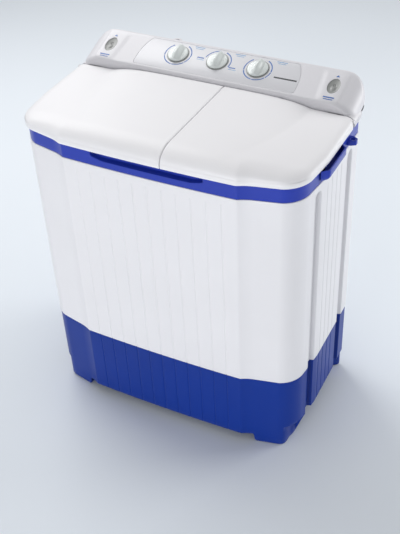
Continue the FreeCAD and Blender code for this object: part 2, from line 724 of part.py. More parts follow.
def console_back():
    """Plate that closes the back of the console, with holes for inlet and cord."""
    y = (CONSOLE_BACK_Y - WALL, CONSOLE_BACK_Y)
    x = (CONSOLE_BACK_X[0] + 0.3, CONSOLE_BACK_X[1] - 0.3)
    z = (CONSOLE_BACK_Z[0] + 0.3, CONSOLE_BACK_Z[1] - 0.3)
    plate = box(x, y, z)
    holes = [rod_y(px, (y[0] - 1, y[1] + 1), pz, SCREW_R) for px, pz in console_screw_places()]
    holes.append(rod_y(INLET_X, (y[0] - 1, y[1] + 1), INLET_Z, INLET_R - 2))
    return cut_all(plate, holes)


def water_inlet():
    """Elbow that takes the fill hose above the console's back."""
    rise = [V(INLET_X, CONSOLE_BACK_Y - 5, INLET_Z), V(INLET_X, INLET_Y, INLET_Z),
            V(INLET_X, INLET_Y, SPIGOT_Z[0] + 2)]
    elbow = pipe(rise, 12.0, INLET_R - 2, INLET_BORE_R)
    socket = tube((INLET_X, INLET_Y), SPIGOT_Z, INLET_R, INLET_BORE_R)
    return fuse([elbow, socket])


def control_panel():
    """Thin plate that carries the scales and lies flush in the face."""
    plate = panel_plate(-0.4, (-PANEL_T, 0.0))
    holes = [face_cyl(x, KNOB_S, (-5, 5), 6.0) for x in KNOBS_X.values()]
    return cut_all(plate, holes)


def knob_bezels():
    """Thin rings around the three knobs."""
    rings = []
    for x in KNOBS_X.values():
        ring = face_cyl(x, KNOB_S, (0.0, 1.2), KNOB_R + 1.8)
        rings.append(ring.cut(face_cyl(x, KNOB_S, (-1, 3), KNOB_R - 2.0)))
    return Part.makeCompound(rings)


def knob(x):
    """Round knob with a raised grip that points up the slope at rest."""
    low, high = KNOB_SKIRT
    skirt = face_cyl(x, KNOB_S, KNOB_SKIRT, KNOB_R)
    body = Part.makeCone(KNOB_R - 1.0, KNOB_R - 8.0, 8.0, on_face(x, KNOB_S, high), FACE_N)
    a, b = KNOB_GRIP_HALF
    grip = [on_face(x + i * a, KNOB_S + k * b, low + 3) for i, k in ((-1, -1), (1, -1), (1, 1), (-1, 1))]
    fin = polygon_prism(grip, FACE_N * (KNOB_H - low - 3))
    bore = face_cyl(x, KNOB_S, (0, 13), KNOB_SHAFT_R)
    return fuse([skirt, body, fin]).cut(bore)


def timer_box(x, half, depth):
    """Timer or switch body behind the panel, with a bearing hole for its shaft."""
    points = [on_face(x - half, KNOB_S - half, -6.0), on_face(x + half, KNOB_S - half, -6.0),
              on_face(x + half, KNOB_S + half - 4, -6.0), on_face(x - half, KNOB_S + half - 4, -6.0)]
    body = polygon_prism(points, FACE_N * -depth)
    boss = face_cyl(x, KNOB_S, (-6.0, -3.5), 7.0)
    bore = face_cyl(x, KNOB_S, (-6.0 - depth + 4, 0), KNOB_SHAFT_R + RUNNING)
    return body.fuse(boss).cut(bore)


def timer_shaft(x, depth):
    """Turning shaft between a timer and its knob."""
    return face_cyl(x, KNOB_S, (-6.0 - depth + 5, 13), KNOB_SHAFT_R)


# Wash side -------------------------------------------------------------------------------
def tub_block(inset):
    """Wash tub as a solid with rounded walls and a rounded bottom."""
    block = rounded_box((WASH_X[0] + inset, WASH_X[1] - inset), (WASH_Y[0] + inset, WASH_Y[1] - inset),
                        (WASH_BOTTOM_Z + inset, DECK_Z), WASH_CORNER - inset)
    rim = [e for e in block.Edges if e.BoundBox.ZMax < WASH_BOTTOM_Z + inset + 1]
    return block.makeFillet(30.0 - inset, rim)


def wash_tub():
    """Deep tub with a flange under the deck and holes for shaft and drain."""
    flange = rounded_box((WASH_X[0] - TUB_FLANGE, WASH_X[1] + TUB_FLANGE),
                         (WASH_Y[0] - TUB_FLANGE, WASH_Y[1] + TUB_FLANGE),
                         (DECK_Z - TUB_WALL, DECK_Z), WASH_CORNER + TUB_FLANGE)
    body = tub_block(0.0).fuse(flange).cut(tub_block(TUB_WALL))
    shaft_hole = cyl(PULSATOR, (WASH_BOTTOM_Z - 5, WASH_BOTTOM_Z + 10), SHAFT_HOLE_R)
    drain_hole = cyl(DRAIN, (WASH_BOTTOM_Z - 5, WASH_BOTTOM_Z + 10), DRAIN_HOLE_R)
    return cut_all(body, [shaft_hole, drain_hole])


def wash_bearing_housing():
    """Flanged sleeve under the wash tub that carries the pulsator shaft."""
    profile = [(10.0, 282), (18.0, 282), (18.0, 318), (48.0, 322), (48.0, WASH_BOTTOM_Z),
               (18.0, WASH_BOTTOM_Z), (18.0, WASH_BOTTOM_Z + 6), (10.0, WASH_BOTTOM_Z + 6)]
    return revolve(profile, PULSATOR)


def shaft_bushes():
    low = tube(PULSATOR, (283, 298), 10.0, SHAFT_R + RUNNING)
    high = tube(PULSATOR, (311, 326), 10.0, SHAFT_R + RUNNING)
    return Part.makeCompound([low, high])


def shaft_seal():
    return tube(PULSATOR, (328, 335), 10.0, SHAFT_R + RUNNING)


def pulsator_shaft():
    """Steel shaft with a collar above the pulley."""
    shaft = cyl(PULSATOR, (PULLEY_Z - 4, 352), SHAFT_R)
    collar = cyl(PULSATOR, (PULLEY_Z + PULLEY_H, PULLEY_Z + PULLEY_H + 6), 9.0)
    return shaft.fuse(collar).cut(cyl(PULSATOR, (338, 352), 2.5))


def pulsator():
    """Ribbed disc that churns the water, with a socket for its shaft."""
    x, y = PULSATOR
    z = WASH_BOTTOM_Z + 8.0
    profile = [(0, z + 4), (22, z + 4), (22, z), (PULSATOR_R, z), (PULSATOR_R, z + 6),
               (PULSATOR_R - 14, z + 12), (34, z + 17), (24, z + 26), (0, z + 28)]
    body = revolve(profile, PULSATOR)
    for i in range(4):
        fin = box((28, PULSATOR_R - 8), (-3.5, 3.5), (z + 8, z + 22))
        fin = fin.makeFillet(3.0, [e for e in fin.Edges if e.BoundBox.ZMin > z + 20])
        fin.rotate(V(0, 0, 0), V(0, 0, 1), 45 + 90 * i)
        fin.translate(V(x, y, 0))
        body = body.fuse(fin)
    socket = cyl(PULSATOR, (z - 1, 352), SHAFT_R)
    screw_way = cyl(PULSATOR, (351, z + 29), 2.6)
    sink = cyl(PULSATOR, (z + 25, z + 29), 6.0)
    return cut_all(body.removeSplitter(), [socket, screw_way, sink])


def pulsator_screw():
    head_z = WASH_BOTTOM_Z + 33.0
    head = cyl(PULSATOR, (head_z, head_z + 3), 5.0)
    slot = box((PULSATOR[0] - 5, PULSATOR[0] + 5), (PULSATOR[1] - 0.6, PULSATOR[1] + 0.6),
               (head_z + 1.5, head_z + 4))
    return head.fuse(cyl(PULSATOR, (340, head_z), 2.5)).cut(slot)


def pulley(centre, radius, holes):
    """Grooved pulley; a large one has lightening holes in its web."""
    z = (PULLEY_Z, PULLEY_Z + PULLEY_H)
    wheel = cyl(centre, z, radius)
    floor = radius - GROOVE_DEPTH
    gap = 0.5
    groove = tube(centre, (BELT_Z - gap, BELT_Z + BELT_H + gap), radius + 1, floor)
    wheel = wheel.cut(groove).cut(cyl(centre, (z[0] - 1, z[1] + 1), SHAFT_R))
    if holes:
        for side in ((z[0] - 1, z[0] + 5), (z[1] - 5, z[1] + 1)):
            wheel = wheel.cut(tube(centre, side, floor - 8, 16.0))
        middle = (floor + 8) / 2.0
        for i in range(holes):
            turn = 2 * math.pi * i / holes
            place = (centre[0] + middle * math.cos(turn), centre[1] + middle * math.sin(turn))
            wheel = wheel.cut(cyl(place, (z[0] - 1, z[1] + 1), 20.0))
    return wheel


def wash_pulley():
    return pulley(PULSATOR, BIG_PULLEY_R, 5)


def motor_pulley():
    return pulley(WASH_MOTOR, SMALL_PULLEY_R, 0)


def belt_block(grow):
    """Solid inside a belt loop around both pulleys."""
    gap = 0.6
    big = BIG_PULLEY_R - GROOVE_DEPTH + gap + grow
    small = SMALL_PULLEY_R - GROOVE_DEPTH + gap + grow
    dx, dy = WASH_MOTOR[0] - PULSATOR[0], WASH_MOTOR[1] - PULSATOR[1]
    heading = math.atan2(dy, dx)
    open_angle = math.acos((big - small) / math.hypot(dx, dy))
    z = (BELT_Z, BELT_Z + BELT_H)

    def touch(centre, radius, side):
        angle = heading + side * open_angle
        return V(centre[0] + radius * math.cos(angle), centre[1] + radius * math.sin(angle), BELT_Z)
    corners = [touch(PULSATOR, big, 1), touch(WASH_MOTOR, small, 1),
               touch(WASH_MOTOR, small, -1), touch(PULSATOR, big, -1)]
    return fuse([cyl(PULSATOR, z, big), cyl(WASH_MOTOR, z, small), polygon_prism(corners, V(0, 0, BELT_H))])


def drive_belt():
    return belt_block(5.0).cut(belt_block(0.0))


def motor(centre, z, radius, shaft_r):
    """Motor casing with ribs, end shields and a hollow for the rotor."""
    low, high = z
    body = tube(centre, (low + 8, high - 8), radius, radius - 22)
    body = body.fuse(tube(centre, (low, low + 10), radius - 6, shaft_r + RUNNING))
    body = body.fuse(tube(centre, (high - 10, high), radius - 6, shaft_r + RUNNING))
    for i in range(4):
        turn = math.pi / 4 + math.pi / 2 * i
        reach = radius + 4
        place = (centre[0] + reach * math.cos(turn), centre[1] + reach * math.sin(turn))
        lug = cyl(place, (low + 8, high - 8), 8.0).cut(cyl(centre, (low + 8, high - 8), radius - 10))
        body = body.fuse(lug).cut(cyl(place, (low, high), 3.0))
    return body.removeSplitter()


def rotor(centre, z, radius, shaft_z, shaft_r):
    core = cyl(centre, (z[0] + 14, z[1] - 14), radius - 23)
    return core.fuse(cyl(centre, shaft_z, shaft_r))


def wash_motor():
    return motor(WASH_MOTOR, WASH_MOTOR_Z, WASH_MOTOR_R, SHAFT_R)


def wash_motor_rotor():
    return rotor(WASH_MOTOR, WASH_MOTOR_Z, WASH_MOTOR_R, (118, PULLEY_Z + PULLEY_H), SHAFT_R)


def motor_bolt_places():
    reach = WASH_MOTOR_R + 4
    turns = [math.pi / 4 + math.pi / 2 * i for i in range(4)]
    return [(WASH_MOTOR[0] + reach * math.cos(t), WASH_MOTOR[1] + reach * math.sin(t)) for t in turns]


def wash_motor_bracket():
    """Steel bridge on the plinth's floor that carries the wash motor."""
    x, y = WASH_MOTOR
    low = WASH_MOTOR_Z[0] + 4.0
    deck = box((x - 50, x + 50), (y - 46, y + 46), (low, low + 4))
    pieces = [deck]
    for side in (-1, 1):
        edge = y + side * 44
        pieces.append(box((x - 50, x + 50), (edge - 2, edge + 2), (FLOOR_Z + WALL, low + 4)))
        foot_edge = y + side * 36
        pieces.append(box((x - 50, x + 50), (foot_edge - 10, foot_edge + 10),
                          (FLOOR_Z + WALL, FLOOR_Z + WALL + 3)))
    body = fuse(pieces).cut(cyl(WASH_MOTOR, (low - 1, low + 5), WASH_MOTOR_R - 5))
    return cut_all(body, [cyl(p, (low - 1, low + 5), 3.0) for p in motor_bolt_places()])


def motor_bolts():
    """Four through bolts that clamp the wash motor to its bracket."""
    low, high = WASH_MOTOR_Z[0] + 4, WASH_MOTOR_Z[1] - 8
    bolts = [cyl(p, (low - 4, high), 3.0).fuse(cyl(p, (high, high + 4), 6.0)) for p in motor_bolt_places()]
    nuts = [cyl(p, (low - 4, low), 5.0) for p in motor_bolt_places()]
    return Part.makeCompound([b.fuse(n).removeSplitter() for b, n in zip(bolts, nuts)])


def drain_valve_body():
    """Chamber under the wash tub's drain hole, with a seat and an outlet below it."""
    cup = tube(DRAIN, VALVE_Z, 24.0, 20.0).fuse(cyl(DRAIN, (VALVE_Z[0], VALVE_Z[0] + 4), 24.0))
    seat = tube(DRAIN, (SEAT_Z - 4, SEAT_Z), 22.0, 12.0)
    guide = tube(DRAIN, (VALVE_Z[1] - 4, VALVE_Z[1]), 24.0, 9.0)
    for i in range(4):
        turn = math.pi / 2 * i
        place = (DRAIN[0] + 13.5 * math.cos(turn), DRAIN[1] + 13.5 * math.sin(turn))
        guide = guide.cut(cyl(place, (VALVE_Z[1] - 5, VALVE_Z[1] + 1), 4.0))
    outlet = rod_y(DRAIN[0], (DRAIN[1] + 18, DRAIN[1] + 48), OUTLET_Z, OUTLET_R)
    body = fuse([cup, seat, guide, outlet])
    return body.cut(rod_y(DRAIN[0], (DRAIN[1] + 10, DRAIN[1] + 49), OUTLET_Z, OUTLET_R - 2.5))


def drain_valve_plunger():
    """Plug on the valve's seat, with a stem that is pulled up to drain the tub."""
    plug = cyl(DRAIN, (SEAT_Z, SEAT_Z + PLUG_H), 16.0)
    stem = cyl(DRAIN, (SEAT_Z + PLUG_H, VALVE_Z[1] + 8), 3.0)
    eye = rod_x((DRAIN[0] - 1.5, DRAIN[0] + 1.5), DRAIN[1], VALVE_Z[1] + 12, 6.0)
    hole = rod_x((DRAIN[0] - 2, DRAIN[0] + 2), DRAIN[1], VALVE_Z[1] + 13, 2.5)
    return fuse([plug, stem, eye]).cut(hole)


def drain_valve_spring():
    return spring(DRAIN, (SEAT_Z + PLUG_H + 0.5, VALVE_Z[1] - 4.5), 7.0, 1.0, 3.5)


def lint_filter():
    """Filter cassette on the back wall of the wash tub."""
    x, y = (-190.0, -100.0), (WASH_Y[1] - TUB_WALL - 16, WASH_Y[1] - TUB_WALL)
    body = box(x, y, (430, 690)).cut(box((x[0] + 3, x[1] - 3), (y[0] + 3, y[1] + 1), (433, 680)))
    slots = [box((x[0] + 12, x[1] - 12), (y[0] - 1, y[0] + 4), (z, z + 8)) for z in range(460, 660, 20)]
    return cut_all(body, slots)


# Spin side -------------------------------------------------------------------------------
def spin_outer_tub():
    """Round catch tub with a flange under the deck and a hole for the seal."""
    z = (SPIN_BOTTOM_Z, DECK_Z)
    inner_r = SPIN_TUB_R - TUB_WALL
    flange = cyl(SPIN, (DECK_Z - TUB_WALL, DECK_Z), SPIN_TUB_R + TUB_FLANGE - 2)
    body = cyl(SPIN, z, SPIN_TUB_R).fuse(flange).cut(cyl(SPIN, (z[0] + TUB_WALL, z[1] + 1), inner_r))
    body = body.cut(cyl(SPIN, (z[0] - 1, z[0] + 5), 30.0))
    return body.cut(cyl(SPIN_DRAIN, (z[0] - 1, z[0] + 5), 11.0))


def spin_drain_pipe():
    """Elbow from the catch tub's bottom to the drain hose."""
    x, y = SPIN_DRAIN
    end = HOSE_X + HOSE_R + 0.5
    bend = [V(x, y, SPIN_BOTTOM_Z + TUB_WALL), V(x, y, 230), V(x, 150, 230), V(end, 150, 230)]
    return pipe(bend, 24.0, 11.0, 8.5)


def spin_basket():
    """Perforated basket with a hub for the spin shaft."""
    low, high = BASKET_Z
    shell = cyl(SPIN, BASKET_Z, BASKET_R).cut(cyl(SPIN, (low + 2, high + 1), BASKET_R - 2))
    hub = cyl(SPIN, (low - 14, low + 30), 24.0)
    body = fuse([shell, hub]).cut(cyl(SPIN, (low - 15, low + 31), SPIN_SHAFT_R))
    for row in range(3):
        z = low + 60 + row * 70
        for i in range(6):
            hole = Part.makeCylinder(5.0, 2 * BASKET_R + 20, flat(SPIN, z) - V(BASKET_R + 10, 0, 0), V(1, 0, 0))
            hole.rotate(flat(SPIN, z), V(0, 0, 1), 30 * i + 15 * row)
            body = body.cut(hole)
    return body


def balance_ring():
    z = (BASKET_Z[1] - 26, BASKET_Z[1] - 2)
    return tube(SPIN, z, BASKET_R - 2, BASKET_R - 16)


def spin_press_plate():
    """Loose perforated disc that holds the laundry down in the basket."""
    z = (640.0, 644.0)
    plate = cyl(SPIN, z, BASKET_R - 6).fuse(cyl(SPIN, z, 10.0))
    for ring_r, count in ((35.0, 6), (70.0, 12), (92.0, 18)):
        for i in range(count):
            turn = 2 * math.pi * i / count
            place = (SPIN[0] + ring_r * math.cos(turn), SPIN[1] + ring_r * math.sin(turn))
            plate = plate.cut(cyl(place, (z[0] - 1, z[1] + 1), 6.0))
    return plate


def spin_shaft():
    """Shaft from the brake drum to the basket, with a shoulder under the hub."""
    low = BASKET_Z[0] - 14.0
    shaft = cyl(SPIN, (BRAKE_Z[0] + 12, BASKET_Z[0] + 36), SPIN_SHAFT_R)
    return fuse([shaft, cyl(SPIN, (low - 5, low), 12.0), cyl(SPIN, (BASKET_Z[0] + 30, BASKET_Z[0] + 36), 12.0)])


def bellows_seal():
    """Folded rubber seal between the catch tub and the spin shaft."""
    z = SPIN_BOTTOM_Z
    profile = [(9.5, z - 34), (13, z - 34), (13, z - 20), (22, z - 16), (22, z - 10), (16, z - 8), (26, z - 3),
               (40, z - 3), (40, z), (25, z), (12, z - 8), (18, z - 12), (18, z - 14), (9.5, z - 18)]
    body = revolve(profile, SPIN)
    return body.fuse(tube(SPIN, (z - 34, z - 28), 12.0, SPIN_SHAFT_R + RUNNING)).removeSplitter()


def brake_drum():
    """Drum and coupling between the motor shaft and the spin shaft."""
    low, high = BRAKE_Z
    body = cyl(SPIN, BRAKE_Z, BRAKE_R).cut(tube(SPIN, (low + 6, high + 1), BRAKE_R - 5, 16.0))
    body = body.cut(cyl(SPIN, (low + 12, high + 1), SPIN_SHAFT_R))
    return body.cut(cyl(SPIN, (low - 1, low + 12), SHAFT_R))


def brake_arm():
    """Lever with a curved shoe that presses on the brake drum."""
    z = (BRAKE_Z[0] + 8, BRAKE_Z[1] - 6)
    shoe = tube(SPIN, z, BRAKE_R + BRAKE_GAP + 5, BRAKE_R + BRAKE_GAP)
    shoe = shoe.common(box((SPIN[0] + 8, SPIN[0] + 60), (SPIN[1] - 35, SPIN[1] + 20), z))
    arm = polygon_prism([V(SPIN[0] + 44, SPIN[1] + 4, z[0]), V(BRAKE_PIVOT[0] - 8, BRAKE_PIVOT[1] - 2, z[0]),
                         V(BRAKE_PIVOT[0] + 8, BRAKE_PIVOT[1] - 2, z[0]), V(SPIN[0] + 52, SPIN[1] - 10, z[0])],
                        V(0, 0, z[1] - z[0]))
    arm = arm.cut(cyl(SPIN, z, BRAKE_R + BRAKE_GAP))
    eye = cyl(BRAKE_PIVOT, z, 9.0)
    return fuse([shoe, arm, eye]).cut(cyl(BRAKE_PIVOT, (z[0] - 1, z[1] + 1), 4.0 + RUNNING))


def spin_motor():
    """Spin motor with a three-armed spring carrier and the brake's pivot post."""
    body = motor(SPIN, SPIN_MOTOR_Z, SPIN_MOTOR_R, SHAFT_R)
    arms = []
    for centre in spring_places():
        arms.append(cyl(centre, (SPIN_MOTOR_Z[0] + 10, SPIN_MOTOR_Z[0] + 14), 20.0))
    bracket_z = (SPIN_MOTOR_Z[0] + 10, SPIN_MOTOR_Z[0] + 14)
    carrier = cyl(SPIN, bracket_z, SPIN_MOTOR_R + 14).cut(cyl(SPIN, bracket_z, SPIN_MOTOR_R - 10))
    shelf_z = (SPIN_MOTOR_Z[1] - 12, SPIN_MOTOR_Z[1] - 8)
    shelf = box((BRAKE_PIVOT[0] - 20, BRAKE_PIVOT[0] + 12), (BRAKE_PIVOT[1] - 25, BRAKE_PIVOT[1] + 12), shelf_z)
    post = cyl(BRAKE_PIVOT, (shelf_z[1], BRAKE_Z[1] - 2), 4.0)
    seat = cyl(BRAKE_PIVOT, (shelf_z[1], BRAKE_Z[0] + 7.5), 8.0)
    hollow = cyl(SPIN, (SPIN_MOTOR_Z[0] + 8, SPIN_MOTOR_Z[1] - 8), SPIN_MOTOR_R - 22)
    return fuse([body, carrier, shelf, post, seat] + arms).cut(hollow)


def spring_places():
    reach = SPIN_MOTOR_R + 26
    turns = [math.radians(a) for a in (90, 210, 330)]
    return [(SPIN[0] + reach * math.cos(t), SPIN[1] + reach * math.sin(t)) for t in turns]


def spin_motor_rotor():
    return rotor(SPIN, SPIN_MOTOR_Z, SPIN_MOTOR_R, (94, BRAKE_Z[0] + 12), SHAFT_R)


def suspension_springs():
    z = (FLOOR_Z + WALL, SPIN_MOTOR_Z[0] + 10)
    return Part.makeCompound([spring(c, z, 13.0, 2.0, 9.0) for c in spring_places()])


# Services --------------------------------------------------------------------------------


def drain_hose():
    """Hose from the drain valve, out through the plinth and up the back."""
    points = [V(HOSE_X, DRAIN[1] + 28, OUTLET_Z), V(HOSE_X, 150, OUTLET_Z), V(HOSE_X, 150, HOSE_EXIT_Z),
              V(HOSE_X, HOSE_BACK_Y, HOSE_EXIT_Z), V(HOSE_X, HOSE_BACK_Y, 640)]
    return pipe(points, 20.0, HOSE_R, OUTLET_R + RUNNING)


def capacitor():
    return rod_y(-60.0, (60.0, 130.0), FLOOR_Z + WALL + 25.0, 22.0)


def power_cord():
    """Cable that hangs down the back, with a strain relief and a two-pin plug."""
    y = BACK_Y + COVER_T
    run = pipe([V(CORD_X, y - 15, CORD_Z), V(CORD_X, y + 22, CORD_Z), V(CORD_X, y + 22, 130)], 12.0, CORD_R)
    relief = rod_y(CORD_X, (y, y + 8), CORD_Z, 8.0)
    plug = box((CORD_X - 14, CORD_X + 14), (y + 13, y + 31), (95, 131))
    plug = plug.makeFillet(5.0, [e for e in plug.Edges if e.BoundBox.ZLength > 10])
    pins = [cyl((CORD_X + dx, y + 22), (76, 96), 2.0) for dx in (-7, 7)]
    return fuse([run, relief, plug] + pins)


PARTS = {
    "cabinet": cabinet,
    "base_plinth": base_plinth,
    "rubber_feet": rubber_feet,
    "top_frame": top_frame,
    "handle_left": handle_left,
    "handle_right": handle_right,
    "hose_hook": hose_hook,
    "rear_cover": rear_cover,
    "panel_screws": panel_screws,
    "console_housing": console_housing,
    "console_back": console_back,
    "control_panel": control_panel,
    "knob_bezels": knob_bezels,
    "water_inlet": water_inlet,
    "wash_lid": wash_lid,
    "spin_lid": spin_lid,
    "lid_hinge_pins": lid_hinge_pins,
    "spin_inner_lid": spin_inner_lid,
    "wash_tub": wash_tub,
    "wash_bearing_housing": wash_bearing_housing,
    "shaft_bushes": shaft_bushes,
    "shaft_seal": shaft_seal,
    "pulsator_shaft": pulsator_shaft,
    "pulsator": pulsator,
    "pulsator_screw": pulsator_screw,
    "wash_pulley": wash_pulley,
    "motor_pulley": motor_pulley,
    "drive_belt": drive_belt,
    "wash_motor": wash_motor,
    "wash_motor_rotor": wash_motor_rotor,
    "wash_motor_bracket": wash_motor_bracket,
    "motor_bolts": motor_bolts,
    "drain_valve_body": drain_valve_body,
    "drain_valve_plunger": drain_valve_plunger,
    "drain_valve_spring": drain_valve_spring,
    "lint_filter": lint_filter,
    "spin_outer_tub": spin_outer_tub,
    "spin_drain_pipe": spin_drain_pipe,
    "spin_basket": spin_basket,
    "balance_ring": balance_ring,
    "spin_press_plate": spin_press_plate,
    "spin_shaft": spin_shaft,
    "bellows_seal": bellows_seal,
    "brake_drum": brake_drum,
    "brake_arm": brake_arm,
    "spin_motor": spin_motor,
    "spin_motor_rotor": spin_motor_rotor,
    "suspension_springs": suspension_springs,
    "drain_hose": drain_hose,
    "capacitor": capacitor,
    "power_cord": power_cord,
}


def main():
    os.makedirs("parts", exist_ok=True)
    shapes = {name: build() for name, build in PARTS.items()}
    for name, x in KNOBS_X.items():
        shapes[name + "_knob"] = knob(x)
        shapes[name + "_body"] = timer_box(x, TIMER_HALF, TIMER_DEPTH)
        shapes[name + "_shaft"] = timer_shaft(x, TIMER_DEPTH)
    for name, shape in shapes.items():
        shape.exportStep("parts/" + name + ".step")


main()
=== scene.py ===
import json
import math
import bmesh
import bpy
import numpy as np
from mathutils import Matrix, Vector


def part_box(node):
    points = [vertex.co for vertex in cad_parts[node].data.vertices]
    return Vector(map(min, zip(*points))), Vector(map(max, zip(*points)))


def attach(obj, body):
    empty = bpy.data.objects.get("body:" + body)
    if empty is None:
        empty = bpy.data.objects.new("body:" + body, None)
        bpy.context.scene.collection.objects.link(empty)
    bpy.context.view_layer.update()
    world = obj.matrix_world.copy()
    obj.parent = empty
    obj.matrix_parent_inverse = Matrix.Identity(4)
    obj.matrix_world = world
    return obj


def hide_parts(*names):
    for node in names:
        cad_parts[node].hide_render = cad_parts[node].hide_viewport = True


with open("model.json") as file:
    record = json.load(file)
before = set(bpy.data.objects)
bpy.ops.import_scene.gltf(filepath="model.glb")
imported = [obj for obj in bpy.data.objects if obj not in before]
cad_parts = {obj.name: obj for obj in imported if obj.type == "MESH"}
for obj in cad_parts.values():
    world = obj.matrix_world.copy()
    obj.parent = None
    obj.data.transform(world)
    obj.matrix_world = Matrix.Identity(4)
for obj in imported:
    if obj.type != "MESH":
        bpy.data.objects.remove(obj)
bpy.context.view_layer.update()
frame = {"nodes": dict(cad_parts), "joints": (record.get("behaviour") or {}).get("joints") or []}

# Twin tub washer. Lengths are in millimetres, in the frame's axes: X to the right, Y to the
# back, Z up, origin on the floor at the centre of the footprint.
MM = 0.001


def node_box(node):
    """A CAD node's lowest and highest corner in millimetres."""
    low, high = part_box(node)
    return np.array(low) / MM, np.array(high) / MM


JOINTS = {j["name"]: j for j in frame["joints"]}


def joint_place(name):
    return np.array(JOINTS[name]["pos_m"]) / MM


# Driving dimensions ------------------------------------------------------------------------
CABINET = node_box("cabinet")
HALF_WIDTH = CABINET[1][0]
BACK_Y = CABINET[1][1]
BASE_TOP_Z = CABINET[0][2]
CABINET_TOP_Z = CABINET[1][2]
BAND_TOP_Z = CABINET_TOP_Z + 35.0
LID_TOP_Z = node_box("wash_lid")[1][2]
LID_BOTTOM_Z = node_box("wash_lid")[0][2]
LID_REAR_Y = node_box("wash_lid")[1][1]
SEAM = (node_box("wash_lid")[1][0], node_box("spin_lid")[0][0])
CONSOLE_BACK_Y = node_box("console_housing")[1][1]
HINGE_Y, HINGE_Z = joint_place("wash_lid_hinge")[1:]
SPIN = joint_place("basket_spin")[:2]
KNOBS = {"wash_timer": "wash_timer_turn", "mode": "mode_turn", "spin_timer": "spin_timer_turn"}
KNOBS_X = {name: joint_place(joint)[0] for name, joint in KNOBS.items()}

WALL = 3.0
BAND_INSET = 1.5
LID_OVERHANG = 4.0
LID_WALL = 2.5
PLINTH_Z = 25.0
FOOT_GAP = 2.0
FLOOR_Z = 60.0
FOOT_X = 238.0
FOOT_FRONT_Y = -95.0
FOOT_BACK_Y = 120.0
TUCK = 18.0
TUCK_Z = 61.0

AHEAD_Y = -200.0                  # in front of the outline, for looking up its nearest point
ASIDE_X = 345.0                   # beside the outline, likewise
BOW_Y = -181.0
STEP = ((206.0, -177.0), (222.5, -169.4), (240.0, -164.5))
CORNER = ((292.0, -153.0), (317.0, -136.5), (333.0, -100.0))
SIDE_START_Y = -30.0
BACK_RADIUS = 15.0

FLUTE_PITCH = 34.35
FLUTE_X = [i * FLUTE_PITCH for i in range(-5, 6)]
FLUTE_SIDE_Y = (-19.0, 8.0, 36.0, 63.0)
FLUTE_DEPTH = 0.9
FLUTE_HALF = 0.95
FLUTE_TOP_Z = 697.0
CHANNEL_Y = (-65.0, 116.0)
CHANNEL_HALF = 16.0
CHANNEL_SHOULDER = 5.0
CHANNEL_DEPTH = 9.0
CHANNEL_TOP_Z = 700.0
LOW_Z = 100.0                     # a height where flutes and channels have their full depth
FLUTE_MARKS = (-1.6, -0.95, -0.5, 0.0, 0.5, 0.95, 1.6)
CHANNEL_MARKS = (0, 6, 9.5, 11, 12, 13, 14, 15, 16, 17.5)

POCKET_HALF = 131.0
POCKET_SLOPE = 26.0
POCKET_LOW_Z = BAND_TOP_Z - 18.0
POCKET_KNEE_Z = BAND_TOP_Z - 12.0
POCKET_BACK_Y = BOW_Y + 14.0

DECK_Z = 744.0
DECK_T = 3.0
WASH_HOLE = ((-315.5, 41.5), (-140.5, 92.0), 60.0)
SPIN_OPEN_R = 117.0
COLLAR_TOP_Z = 751.0
LID_EARS_X = {"wash_lid": (-175.0, -20.0), "spin_lid": (75.0, 175.0)}
EAR_T = 6.0
EAR_R = 4.2
INNER_HINGE = (109.0, 755.0)
INNER_EARS_X = (155.0, 215.0)
INNER_EAR_R = 3.5

RISER_Y = 122.5
FACE_Z = 797.0
FACE_LEAN = math.radians(70.0)
FACE_U = np.array([0.0, math.sin(FACE_LEAN), math.cos(FACE_LEAN)])
FACE_N = np.array([0.0, -math.cos(FACE_LEAN), math.sin(FACE_LEAN)])
END_R = 54.0
END_DROP = 40.0
WRAP_R = 22.0
REAR_R = 36.0
PANEL_HALF = 200.0
PANEL_S = (7.0, 92.0)
PANEL_T = 1.5
KNOB_S = 56.0
KNOB_R = 24.5
KNOB_H = 16.5
RING_R = 32.2
DIMPLE_X = 278.0
DIMPLE_S = 47.5
DIMPLE_HALF = (14.0, 22.0)
REAR_OPENING = ((-250.0, 280.0), (240.0, 620.0))
HANDLE_Y = (-60.0, 60.0)
HANDLE_Z = (720.0, 746.0)
HANDLE_OUT = 14.0


# Mesh helpers ------------------------------------------------------------------------------
def full_turn(steps):
    """Angles of one full turn in equal steps."""
    return np.linspace(0, 2 * math.pi, steps, endpoint=False)


def add_object(name, data):
    obj = bpy.data.objects.new(name, data)
    bpy.context.scene.collection.objects.link(obj)
    return obj


def mesh_piece(name, verts, faces, material, body="casing", sharp=38.0):
    """A smooth-shaded mesh object from millimetre points, riding on a body."""
    mesh = bpy.data.meshes.new(name)
    scaled = np.asarray(verts, float) * MM
    mesh.from_pydata([tuple(v) for v in scaled], [], [tuple(int(i) for i in f) for f in faces])
    obj = add_object(name, mesh)
    clean(obj, sharp)
    mesh.materials.append(material)
    obj["sharp"] = sharp
    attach(obj, body)
    return obj


def clean(obj, sharp):
    """Merges doubles, points normals outwards and shades smooth up to an angle."""
    work = bmesh.new()
    work.from_mesh(obj.data)
    bmesh.ops.remove_doubles(work, verts=work.verts, dist=1e-6)
    bmesh.ops.dissolve_degenerate(work, edges=work.edges, dist=1e-7)
    bmesh.ops.recalc_face_normals(work, faces=work.faces)
    if work.calc_volume(signed=True) < 0:
        bmesh.ops.reverse_faces(work, faces=work.faces)
    work.to_mesh(obj.data)
    work.free()
    obj.data.shade_smooth()
    obj.data.set_sharp_from_angle(angle=math.radians(sharp))


def evaluated_mesh(obj):
    bpy.context.view_layer.update()
    graph = bpy.context.evaluated_depsgraph_get()
    return bpy.data.meshes.new_from_object(obj.evaluated_get(graph))


